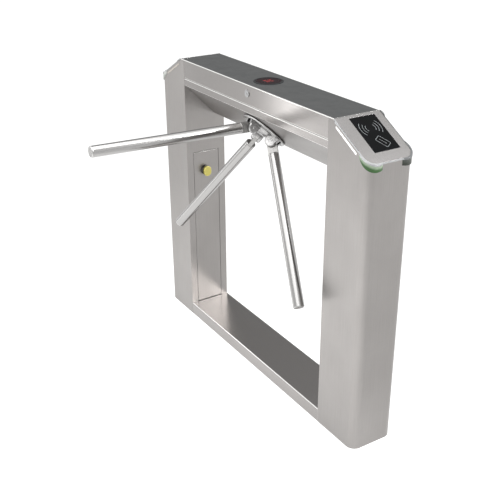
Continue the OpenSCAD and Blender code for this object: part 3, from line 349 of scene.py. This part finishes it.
def brushed_stainless(name, light, dark, edge, roughness, anisotropy):
    """304 stainless with a ground grain: soft streaks, and highlights spread across the grain."""
    material, tree = new_material(name)
    uv = add(tree, "ShaderNodeUVMap", uv_map="grain")
    streak_at = add(tree, "ShaderNodeMapping", {
        "Vector": uv.outputs[0], "Scale": (1 / GRAIN_LENGTH, 1 / GRAIN_WIDTH, 1)})
    streak = add(tree, "ShaderNodeTexNoise", {
        "Vector": streak_at.outputs[0], "Scale": 1.0, "Detail": 3.0, "Roughness": 0.6})
    place = add(tree, "ShaderNodeTexCoord")
    smudge = add(tree, "ShaderNodeTexNoise", {
        "Vector": place.outputs["Object"], "Scale": 1 / SMUDGE_SIZE, "Detail": 4.0,
        "Roughness": 0.55})
    both = add(tree, "ShaderNodeMath", {0: streak.outputs["Fac"], 1: smudge.outputs["Fac"]},
               operation="ADD")
    tone = add(tree, "ShaderNodeMapRange", {
        "Value": both.outputs[0], "From Min": TONES_FROM, "From Max": TONES_TO})
    tint = add(tree, "ShaderNodeMixRGB", {
        "Fac": tone.outputs[0], "Color1": linear(dark), "Color2": linear(light)})
    rough = add(tree, "ShaderNodeMapRange", {
        "Value": both.outputs[0], "From Min": TONES_FROM, "From Max": TONES_TO,
        "To Min": roughness + SHINE_SPREAD, "To Max": roughness - SHINE_SPREAD})
    bump = add(tree, "ShaderNodeBump", {
        "Height": streak.outputs["Fac"], "Strength": 0.25, "Distance": GRAIN_DEPTH})
    tangent = add(tree, "ShaderNodeTangent", direction_type="UV_MAP", uv_map="grain")
    surface(tree, add(tree, "ShaderNodeBsdfPrincipled", {
        "Base Color": wear_and_sheen_to(tree, tint, edge).outputs[0], "Metallic": 1.0,
        "Roughness": rough.outputs[0], "Anisotropic": anisotropy, "Anisotropic Rotation": 0.25,
        "Tangent": tangent.outputs[0], "Normal": bump.outputs[0]}))
    return material


def chamfer_face(face):
    """1 for the beam's 45 degree face, which looks forward and down, and 0 for the others."""
    return int(face.normal.y < CHAMFER_FACING and face.normal.z < CHAMFER_FACING)


# The linished columns shine more softly than the brushed beam. The cover plates lie between,
# and are painted a little darker, as shade.
cabinet_steel = brushed_stainless(
    "brushed_stainless_no4", STEEL_LIGHT, STEEL_DARK, STEEL_EDGE, roughness=0.2, anisotropy=0.8)
shaded_plate_steel = brushed_stainless(
    "shaded_brushed_cover_plate", "#8F8D8C", "#868483", STEEL_EDGE, roughness=0.24, anisotropy=0.6)
column_steel = brushed_stainless(
    "linished_stainless", STEEL_LIGHT, STEEL_DARK, STEEL_EDGE, roughness=0.36, anisotropy=0.5)
for name in ("far_column", "near_column"):
    finished(name, column_steel, radius=0.4 * MM, wear_and_sheen=0.0)
for name in ("base_tread", "lid_cover"):
    finished(name, cabinet_steel, LENGTHWISE, wear_and_sheen=0.3, folds=True)
finished("beam_shell", cabinet_steel, LENGTHWISE, wear_and_sheen=0.3, folds=True, others=(column_steel,),
         pick=chamfer_face)
for name, fall in (("near_head_plate", -PLATE_GRAIN_FALL), ("far_head_plate", PLATE_GRAIN_FALL)):
    finished(name, shaded_plate_steel, (1, 0, fall), radius=0.3 * MM, wear_and_sheen=0.0)


# Floor plates: 6 mm plate inside the column feet, cut, drilled for the anchors and zinc plated.
# The zinc gives a pale blue grey with a soft spangle.
SPANGLE = 9 * MM
PATCHES_FROM, PATCHES_TO = 0.32, 0.68


def worked(name, light, dark, patch, roughness, metallic=0.0, spread=SHINE_SPREAD, dent=0.0,
           edge=None, own=None):
    """A worked surface: two close tones in patches of a real size, with a roughness that
    varies with them, shallow dents and edges that turn to another tone, partly wear and partly
    painted highlight."""
    material, tree = new_material(name)
    place = add(tree, "ShaderNodeTexCoord")
    patches = add(tree, "ShaderNodeTexNoise", {
        "Vector": place.outputs["Object"], "Scale": 1 / patch, "Detail": 4.0, "Roughness": 0.6})
    tone = add(tree, "ShaderNodeMapRange", {
        "Value": patches.outputs["Fac"], "From Min": PATCHES_FROM, "From Max": PATCHES_TO})
    tint = add(tree, "ShaderNodeMixRGB", {
        "Fac": tone.outputs[0], "Color1": linear(dark), "Color2": linear(light)})
    if edge:
        tint = wear_and_sheen_to(tree, tint, edge)
    rough = add(tree, "ShaderNodeMapRange", {
        "Value": tone.outputs[0], "To Min": roughness + spread, "To Max": roughness - spread})
    sockets = {"Base Color": tint.outputs[0], "Metallic": metallic, "Roughness": rough.outputs[0]}
    if dent:
        bump = add(tree, "ShaderNodeBump", {
            "Height": patches.outputs["Fac"], "Strength": 0.5, "Distance": dent})
        sockets["Normal"] = bump.outputs[0]
    sockets.update(own or {})
    surface(tree, add(tree, "ShaderNodeBsdfPrincipled", sockets))
    return material


zinc_plate = worked(
    "zinc_plated_steel", "#B4B8BB", "#9A9EA2", patch=SPANGLE, roughness=0.42, metallic=1.0,
    dent=0.02 * MM, edge="#C6C9CB")
for name in ("base_plates", "door_hinge_lugs"):
    finished(name, zinc_plate, radius=0.5 * MM)


# Lid: the top sheet is laid into the folded cover. It is drawn an even dark grey with a satin
# shine, darker than the bare steel round it.
GREY_SHEET_PATCH = 60 * MM
LID_GREY_LIGHT, LID_GREY_DARK = "#333434", "#303131"

lid_dark_grey = worked(
    "satin_dark_grey_sheet", LID_GREY_LIGHT, LID_GREY_DARK, patch=GREY_SHEET_PATCH, roughness=0.5,
    edge="#77797A", own={"Specular IOR Level": 0.25})
finished("lid_panel", lid_dark_grey, LENGTHWISE, radius=0.3 * MM)


# Lid hinges: rolled stainless butt hinges on the back edge, with steel pins. Rolling leaves a
# smooth face, brighter and more even than the brushed shells.
hinge_steel = worked(
    "rolled_stainless", "#C2C2C1", "#A9AAAA", patch=14 * MM, roughness=0.3, metallic=1.0,
    edge="#D8D8D7")
for name in ("lid_hinge_fixed", "lid_hinge_moving", "lid_hinge_pins"):
    finished(name, hinge_steel, radius=0.3 * MM)


# Quarter-turn locks of the lid and the door: die-cast zinc, chrome plated and polished.
# Keys leave fine marks, so the shine is a little uneven.
bright_chrome = worked(
    "polished_chrome_plate", "#9E9E9E", "#8E8F90", patch=8 * MM, roughness=0.22, metallic=1.0,
    spread=0.06, edge="#E4E4E4")
for name in ("lid_lock_body", "lid_lock_plug", "door_lock_body", "door_lock_plug"):
    finished(name, bright_chrome, radius=0.35 * MM)


# Round indicator in the lid: an ABS bezel with a fine pebble, drawn coarser than it is, and a
# glossy lens of smoked acrylic, both moulded. The lamps under the lens show as low pips on its
# face, and a cross of them is lit red.
LAMP_PITCH, LAMP_RADIUS, LAMP_PROUD = 5.6 * MM, 2.1 * MM, 0.35 * MM
LAMP_TAPER, LAMP_SIDES = 0.6, 12
LAMP_FIELD, CROSS_REACH, CROSS_HALF_WIDTH = 38 * MM, 17 * MM, 1

bezel_plastic = worked(
    "moulded_black_abs", "#1E1F20", "#18191A", patch=1.2 * MM, roughness=0.42, dent=0.03 * MM,
    edge="#2A2B2C", own={"Specular IOR Level": 0.06})
smoked_lens = worked(
    "smoked_acrylic", "#150C0F", "#10090B", patch=22 * MM, roughness=0.16, spread=0.03,
    edge="#1C1114", own={"IOR": 1.4, "Specular IOR Level": 0.06})
lamp_lit = worked(
    "lit_red_lamp", "#7A1C1E", "#621618", patch=3 * MM, roughness=0.3,
    own={"Specular IOR Level": 0.1, "Emission Color": linear("#D02420"), "Emission Strength": 0.16})
lamp_unlit = worked(
    "unlit_red_lamp", "#1F0F12", "#180C0F", patch=3 * MM, roughness=0.3,
    own={"Specular IOR Level": 0.05})
finished("indicator_bezel", bezel_plastic, radius=0.5 * MM)
finished("indicator_lens", smoked_lens, radius=0.3 * MM)

low, high = (Vector(corner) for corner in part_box("indicator_lens"))
lens_middle = Vector(((low.x + high.x) / 2, (low.y + high.y) / 2, high.z))
lamps = {"lit": bmesh.new(), "unlit": bmesh.new()}
reach = int(LAMP_FIELD / LAMP_PITCH)
for across in range(-reach, reach + 1):
    for ahead in range(-reach, reach + 1):
        spot = Vector((across * LAMP_PITCH, ahead * LAMP_PITCH, 0))
        if spot.length > LAMP_FIELD:
            continue
        on_arm = abs(abs(across) - abs(ahead)) <= CROSS_HALF_WIDTH
        crossed = on_arm and spot.length < CROSS_REACH
        bmesh.ops.create_cone(
            lamps["lit" if crossed else "unlit"], cap_ends=True, segments=LAMP_SIDES,
            radius1=LAMP_RADIUS, radius2=LAMP_RADIUS * LAMP_TAPER, depth=LAMP_PROUD * 2,
            matrix=Matrix.Translation(lens_middle + spot))
for state, material in (("lit", lamp_lit), ("unlit", lamp_unlit)):
    piece = keep_mesh(lamps[state], "indicator_lamps_" + state, material)
    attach(piece, nodes["indicator_lens"]["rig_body"])


# Trim round both sloped ends: drawn brass section, bent round the corners, polished and
# chrome plated. It gives bright lines with a slightly broken shine. The back brow's outer faces
# are painted darker, as shade.
BACK_BROW_FROM, BROW_INSIDE_FACING = 35 * MM, -0.35


def rim_face(face):
    """Which chrome a face of the trim has: the back brow's outer faces get the painted shade, and
    its inside stays bright.
    """
    inside = face.normal.y <= BROW_INSIDE_FACING
    return int(face.calc_center_median().y > BACK_BROW_FROM and not inside)


trim_chrome = worked(
    "chrome_plated_trim", "#B4B5B6", "#A2A3A4", patch=5 * MM, roughness=0.2, metallic=1.0,
    edge="#F4F4F4")
shaded_chrome = worked(
    "shaded_chrome_trim", "#7E7F80", "#6C6D6E", patch=5 * MM, roughness=0.24, metallic=1.0,
    edge="#F4F4F4")
for name in ("near_head_rim", "far_head_rim"):
    finished(name, trim_chrome, radius=0.7 * MM, segments=3, others=(shaded_chrome,), pick=rim_face)


# Reader windows: black acrylic, cut and flame polished to a deep gloss, flush with the cover
# plate. Each carries a symbol printed in grey ink: three waves to either side, and a tilted
# card below.
SLOPE_DROP, SLOPE_RUN = 88, 157
SLOPE_TURN = atan2(SLOPE_DROP, SLOPE_RUN)
INK_THICKNESS, INK_WIDTH = 0.08 * MM, 1.1 * MM
WAVE_RADII, WAVE_SWEEP, WAVE_STEPS = (16 * MM, 25 * MM, 35 * MM), radians(80), 14
WAVES_UP = -20 * MM
CARD_LENGTH, CARD_WIDTH, CARD_CORNER, CARD_BAR_SHARE = 40 * MM, 24 * MM, 4 * MM, 0.6
CARD_AT, CARD_TILT = (34 * MM, 6 * MM, 0), radians(33)

black_acrylic = worked(
    "polished_black_acrylic", "#0A0B0C", "#070808", patch=40 * MM, roughness=0.1, spread=0.03,
    edge="#1A1B1C", own={"Specular IOR Level": 0.04})
printed_ink = worked(
    "silver_grey_ink", "#767A7B", "#6A6E6F", patch=6 * MM, roughness=0.45, spread=0.04)


def wave(bm, radius, facing):
    """A printed arc of one wave, open towards the middle of the symbol."""
    inner = bm.verts.new((0, facing * (radius - INK_WIDTH / 2), 0))
    outer = bm.verts.new((0, facing * (radius + INK_WIDTH / 2), 0))
    strip = bm.edges.new((inner, outer))
    turn_back = Matrix.Rotation(-WAVE_SWEEP / 2, 4, "Z")
    bmesh.ops.transform(bm, matrix=turn_back, verts=[inner, outer])
    bmesh.ops.spin(
        bm, geom=[strip, inner, outer], cent=(0, 0, 0), axis=(0, 0, 1), dvec=(0, 0, 0),
        angle=WAVE_SWEEP, steps=WAVE_STEPS, use_merge=False)


def card(bm, place):
    """A printed card: an outline with rounded corners, and a bar across it."""
    plate = bmesh.ops.create_grid(bm, x_segments=1, y_segments=1, size=0.5)["verts"]
    bmesh.ops.scale(bm, vec=(CARD_LENGTH, CARD_WIDTH, 1), verts=plate)
    corners = bmesh.ops.bevel(
        bm, geom=plate, offset=CARD_CORNER, offset_type="OFFSET", segments=4, profile=0.5,
        affect="VERTICES", material=-1)
    outline = list({face for vert in corners["verts"] for face in vert.link_faces})
    bmesh.ops.inset_region(
        bm, faces=outline, thickness=INK_WIDTH, depth=0, use_boundary=True, use_even_offset=True)
    bmesh.ops.delete(bm, geom=outline, context="FACES_ONLY")
    bar = bmesh.ops.create_grid(bm, x_segments=1, y_segments=1, size=0.5)["verts"]
    bmesh.ops.scale(bm, vec=(CARD_LENGTH * CARD_BAR_SHARE, INK_WIDTH, 1), verts=bar)
    bmesh.ops.transform(bm, matrix=place, verts=bm.verts)


for end, mirrored in (("near", 1), ("far", -1)):
    finished(end + "_window", black_acrylic, radius=0.4 * MM)
    window_low, window_high = (Vector(corner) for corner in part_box(end + "_window"))
    middle = (window_low + window_high) / 2
    slope = Matrix.Rotation(mirrored * SLOPE_TURN, 4, "Y")
    outward = slope @ Vector((0, 0, 1))
    window_face = max(vert.co.dot(outward) for vert in nodes[end + "_window"].data.vertices)
    middle += outward * (window_face - middle.dot(outward) + INK_THICKNESS / 2)
    onto_glass = Matrix.Translation(middle) @ slope @ Matrix.Diagonal((mirrored, 1, 1, 1))
    ink = bmesh.new()
    card(ink, Matrix.Translation(CARD_AT) @ Matrix.Rotation(CARD_TILT, 4, "Z"))
    for facing in (-1, 1):
        for radius in WAVE_RADII:
            waves = bmesh.new()
            wave(waves, radius, facing)
            bmesh.ops.translate(waves, verts=waves.verts, vec=(WAVES_UP, 0, 0))
            loose = bpy.data.meshes.new("wave")
            waves.to_mesh(loose)
            waves.free()
            ink.from_mesh(loose)
            bpy.data.meshes.remove(loose)
    bmesh.ops.transform(ink, matrix=onto_glass, verts=ink.verts)
    bmesh.ops.recalc_face_normals(ink, faces=ink.faces)
    piece = keep_mesh(ink, end + "_card_symbol", printed_ink)
    thicken = piece.modifiers.new("ink_layer", "SOLIDIFY")
    thicken.thickness, thicken.offset = INK_THICKNESS, 0
    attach(piece, nodes[end + "_window"]["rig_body"])


# Corner lenses: moulded polycarbonate light guides under the trim. The front one of the near
# pair is lit green for go. The back one and the far pair, seen from this side, are unlit; the
# back one is also painted dark with the shade under the back brow.
LENS_PALE, LENS_DEEP = 2 * MM, 8 * MM
LENS_CLOUD, LENS_CLOUD_SHIFT = 9 * MM, 3 * MM
SLOPE_FALL = SLOPE_DROP / SLOPE_RUN


def light_guide(name, node, fall, pale, deep, strength=0.0):
    """A lens that is painted palest along its upper edge, as a highlight where light falls on its
    top.
    """
    material, tree = new_material(name)
    slope_up = Vector((fall, 0, 1)).normalized()
    highest = max(vert.co.dot(slope_up) for vert in nodes[node].data.vertices)
    place = add(tree, "ShaderNodeTexCoord")
    level = add(tree, "ShaderNodeVectorMath", {0: place.outputs["Object"], 1: tuple(slope_up)},
                operation="DOT_PRODUCT")
    cloud = add(tree, "ShaderNodeTexNoise", {
        "Vector": place.outputs["Object"], "Scale": 1 / LENS_CLOUD, "Detail": 2.0})
    waved = add(tree, "ShaderNodeMath", {
        0: cloud.outputs["Fac"], 1: LENS_CLOUD_SHIFT, 2: level.outputs["Value"]},
        operation="MULTIPLY_ADD")
    top_highlight = add(tree, "ShaderNodeMapRange", {
        "Value": waved.outputs[0], "From Min": highest - LENS_DEEP,
        "From Max": highest - LENS_PALE})
    tint = add(tree, "ShaderNodeMixRGB", {
        "Fac": top_highlight.outputs[0], "Color1": linear(deep), "Color2": linear(pale)})
    surface(tree, add(tree, "ShaderNodeBsdfPrincipled", {
        "Base Color": tint.outputs[0], "Roughness": 0.22, "Specular IOR Level": 0.4,
        "Emission Color": tint.outputs[0], "Emission Strength": strength}))
    return material


green_guide = light_guide(
    "lit_green_light_guide", "near_led_lenses", SLOPE_FALL, "#7A8875", "#2A4824", strength=0.12)
unlit_shaded_guide = light_guide(
    "unlit_shaded_light_guide", "near_led_lenses", SLOPE_FALL, "#343833", "#22261F")
milky_guide = light_guide(
    "milky_light_guide", "far_led_lenses", -SLOPE_FALL, "#A3A5A1", "#8B8E8A")
finished("near_led_lenses", green_guide, radius=0.8 * MM, segments=3,
         others=(unlit_shaded_guide,), pick=lambda face: int(face.calc_center_median().y > 0))
finished("far_led_lenses", milky_guide, radius=0.8 * MM, segments=3)


# Side strips: opal acrylic diffusers pushed into slots in the column sides. The near pair
# catches the light, and the far pair looks beige beside the bright floor.
opal = worked(
    "opal_acrylic", "#F6F6F4", "#EFEFEC", patch=12 * MM, roughness=0.35, edge="#FFFFFF",
    own={"Emission Color": linear("#FFFFFF"), "Emission Strength": 0.25})
beige_opal = worked(
    "shaded_opal_acrylic", "#A39D95", "#979189", patch=12 * MM, roughness=0.4, edge="#B0AAA2")
finished("side_strips", opal, radius=0.4 * MM,
         others=(beige_opal,), pick=lambda face: int(face.calc_center_median().x < 0))


# Reader modules: moulded black ABS cases that sit under the windows, hidden by the black
# acrylic. They have the bezel's pebbled plastic.
finished("readers", bezel_plastic, radius=0.8 * MM)


# Access door: the same brushed sheet as the columns, with folded edges. It tips forward on
# stubs at its foot. Its edges are drawn bright, partly worn by handling and partly painted
# highlight.
finished("door_panel", column_steel, radius=0.6 * MM)


# Door knob: a dark olive base with a yellow cap, both moulded nylon. The yellow is painted
# darker, as shade on the knob. The pebble is drawn coarser than it is, and the edges are
# paler, partly worn by hands and partly painted highlight.
olive_nylon = worked(
    "moulded_olive_nylon", "#605A1C", "#4C4816", patch=1.5 * MM, roughness=0.4, dent=0.04 * MM,
    edge="#6A6530")
shaded_yellow_nylon = worked(
    "moulded_yellow_nylon_in_shade", "#A29A48", "#958C44", patch=1.5 * MM, roughness=0.45, dent=0.04 * MM,
    edge="#B5AC5E")
finished("door_knob", olive_nylon, radius=0.8 * MM)
finished("door_knob_cap", shaded_yellow_nylon, radius=0.8 * MM)


# Rotor head: a three-lobed casting, ground, polished and chrome plated. The fork slots and
# bores are machined, and the plate keeps a slight waviness from the casting.
CAST_WAVE = 7 * MM

hub_chrome = worked(
    "chromed_casting", "#A8A7A6", "#8B8A8A", patch=CAST_WAVE, roughness=0.24, metallic=1.0,
    spread=0.07, dent=0.12 * MM, edge="#D8D8D8")
for name in ("hub_casting", "hub_cap"):
    finished(name, hub_chrome, radius=0.7 * MM)
finished("arm_pins", hub_chrome, radius=0.3 * MM)


# Socket screws of the rotor head: blackened alloy steel, sunk in their seats. The oxide takes
# the shine away, and the near black also stands in for the shade in the seats, so each one
# shows as a dark dot.
black_oxide_and_shade = worked(
    "black_oxide_steel_and_shade", "#0E0F10", "#0A0A0B", patch=2 * MM, roughness=0.5, metallic=0.3,
    edge="#1E1E1F", own={"Specular IOR Level": 0.2})
finished("hub_screws", black_oxide_and_shade, radius=0.3 * MM)


# Arms: 35 mm stainless tube, drawn and satin polished along its length, with pressed-in caps.
# The polishing leaves fine lines along the tube, so lights stretch round it. The milled flats
# of the roots are plainer and a little darker.
MILLED_AREA = 300 * MM ** 2


def wrap_grain(bm, axis):
    """Writes the grain map of a tube: U runs along its axis and V runs round it."""
    layer = bm.loops.layers.uv.new("grain")
    axis = Vector(axis).normalized()
    centre = sum((vert.co for vert in bm.verts), Vector()) / len(bm.verts)
    side = axis.orthogonal().normalized()
    up = axis.cross(side)
    for face in bm.faces:
        towards = face.calc_center_median() - centre
        middle_turn = atan2(towards.dot(up), towards.dot(side))
        for loop in face.loops:
            out = loop.vert.co - centre
            turn = atan2(out.dot(up), out.dot(side))
            turn += 2 * pi * round((middle_turn - turn) / (2 * pi))
            radius = (out - axis * out.dot(axis)).length
            loop[layer].uv = (out.dot(axis), turn * radius)


def tube_axis(name):
    """The long axis of a tube, as the direction in which its points spread most."""
    points = np.array([vert.co for vert in nodes[name].data.vertices])
    return np.linalg.svd(points - points.mean(axis=0), full_matrices=False)[2][0]


arm_steel = brushed_stainless(
    "satin_polished_tube", "#9F9E9D", "#969594", "#C8C8C7", roughness=0.18, anisotropy=0.35)
milled_steel = worked(
    "milled_steel", "#92918F", "#848382", patch=5 * MM, roughness=0.32, metallic=1.0,
    edge="#B8B8B7")
for arm in (1, 2, 3):
    name = "arm_%d_tube" % arm
    axis = tube_axis(name)
    finished(name, arm_steel, axis, radius=0.15 * MM, wear_and_sheen=0.0, mark=wrap_grain)
    finished("arm_%d_knuckle" % arm, arm_steel, axis, radius=0.25 * MM, wear_and_sheen=0.0,
             others=(milled_steel,), pick=lambda face: int(face.calc_area() > MILLED_AREA))
finished("arm_1_cap", arm_steel, tube_axis("arm_1_tube"), radius=0.5 * MM)
finished("arm_2_3_caps", arm_steel, radius=0.5 * MM)


# Drive shaft, bearings and solenoid plungers: ground and hardened steel. A film of oil lays a
# clear gloss over the bright metal.
ground_steel = worked(
    "ground_steel", "#C4C4C3", "#AEAEAD", patch=3 * MM, roughness=0.22, metallic=1.0,
    edge="#DADAD9", own={"Coat Weight": 0.3, "Coat Roughness": 0.1})
for name in ("main_shaft", "bearings", "plunger_left", "plunger_right"):
    finished(name, ground_steel, radius=0.3 * MM)


# Gear, lock wheel and pawls: machined from steel plate and oiled. They are greyer than the
# ground steel, with a thinner gloss.
oiled_steel = worked(
    "machined_oiled_steel", "#8E8C88", "#6C6A66", patch=10 * MM, roughness=0.34, metallic=1.0,
    edge="#B4B2AE", own={"Coat Weight": 0.2, "Coat Roughness": 0.15})
for name in ("drive_gear", "lock_wheel", "pawl_left", "pawl_right"):
    finished(name, oiled_steel, radius=0.15 * MM, segments=1)


# Encoder disc: black phenolic sheet, punched with its ring of slots. It is left matt, and looks
# a dull brownish black beside the steel.
phenolic = worked(
    "black_phenolic_sheet", "#232220", "#191817", patch=1.5 * MM, roughness=0.55, edge="#3C3A36")
finished("encoder_disc", phenolic, radius=0.15 * MM, segments=1)


# Mechanism plates: laser-cut steel, zinc plated and passivated yellow, and held apart by
# standoffs. The yellow changes faintly from place to place.
yellow_zinc = worked(
    "yellow_passivated_zinc", "#B9AE7C", "#A7A184", patch=35 * MM, roughness=0.38, metallic=1.0,
    edge="#CFC8A4")
for name in ("mech_front_plate", "mech_rear_plate"):
    finished(name, yellow_zinc, radius=0.3 * MM)


# Bearing housing and supply case: turned aluminium, and folded aluminium sheet. Both are left
# natural, so they are pale with a soft shine.
aluminium = worked(
    "natural_aluminium", "#C6C8CA", "#AFB1B4", patch=18 * MM, roughness=0.4, metallic=1.0,
    edge="#DADCDE")
for name in ("bearing_housing", "power_supply"):
    finished(name, aluminium, radius=0.4 * MM)


# Pinion: free-cutting brass, hobbed and left bright. It shows a warm yellow shine against the
# steel of the gear.
brass = worked(
    "free_cutting_brass", "#C9A45A", "#B08C48", patch=4 * MM, roughness=0.28, metallic=1.0,
    edge="#E0C07A")
finished("drive_pinion", brass, radius=0.15 * MM, segments=1)


# Motor and solenoids: steel cans with a baked black powder coat. Its pebble breaks up the
# shine, and is drawn coarser than it is.
powder_coat = worked(
    "black_powder_coat", "#2B2C2E", "#212224", patch=1.1 * MM, roughness=0.5, dent=0.05 * MM,
    edge="#484A4C")
for name in ("drive_motor", "solenoids"):
    finished(name, powder_coat, radius=0.5 * MM)


# Controller on its back panel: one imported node, dressed as what it carries. A zinc plated
# panel holds the board on four posts. The board is glossy green, with green terminals, blue
# relays, a dull black chip and two capacitors.
PANEL_SHEET, PARTS_FROM_EDGE = 2 * MM, 3 * MM
BOARD_BACK, BOARD_FRONT = 9.8 * MM, 11.8 * MM
TERMINAL_TOP, RELAY_FOOT = 20 * MM, 118 * MM
CAPACITOR_FOOT, CAPACITOR_TOP, CAPACITOR_INNER = 76 * MM, 94 * MM, 27 * MM
MASK, PANEL, TERMINAL, RELAY, CHIP, SLEEVE = range(6)

solder_mask = worked(
    "green_solder_mask", "#1F6B3C", "#195A32", patch=3 * MM, roughness=0.3, spread=0.03,
    edge="#3B8A55", own={"Coat Weight": 0.3, "Coat Roughness": 0.1})
terminal_nylon = worked(
    "green_terminal_nylon", "#3F8F4A", "#357E40", patch=2 * MM, roughness=0.45, edge="#5AA865")
relay_case = worked(
    "blue_relay_case", "#2F5F9E", "#28548E", patch=8 * MM, roughness=0.35, edge="#4A7ABA")
chip_epoxy = worked(
    "black_chip_epoxy", "#202122", "#191A1B", patch=1 * MM, roughness=0.55, edge="#303132")
sleeve = worked(
    "blue_black_capacitor_sleeve", "#22283A", "#1B2030", patch=6 * MM, roughness=0.35,
    edge="#353C52")
panel_face = Vector(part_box("control_board")[0]).x + PANEL_SHEET
board_points = [vert.co for vert in nodes["control_board"].data.vertices]
parts_foot = min(co.z for co in board_points if co.x > panel_face + BOARD_FRONT)
board_foot = parts_foot - PARTS_FROM_EDGE


def board_part(face):
    """Which material a face of the controller has, from where its middle lies."""
    middle = face.calc_center_median()
    ahead, up = middle.x - panel_face, middle.z - board_foot
    if ahead < BOARD_BACK:
        return PANEL
    if ahead < BOARD_FRONT:
        return MASK
    if up < TERMINAL_TOP:
        return TERMINAL
    if up > RELAY_FOOT:
        return RELAY
    at_capacitors = CAPACITOR_FOOT < up < CAPACITOR_TOP and abs(middle.y) > CAPACITOR_INNER
    return SLEEVE if at_capacitors else CHIP


finished("control_board", solder_mask, radius=0.25 * MM, segments=1, pick=board_part,
         others=(zinc_plate, terminal_nylon, relay_case, chip_epoxy, sleeve))
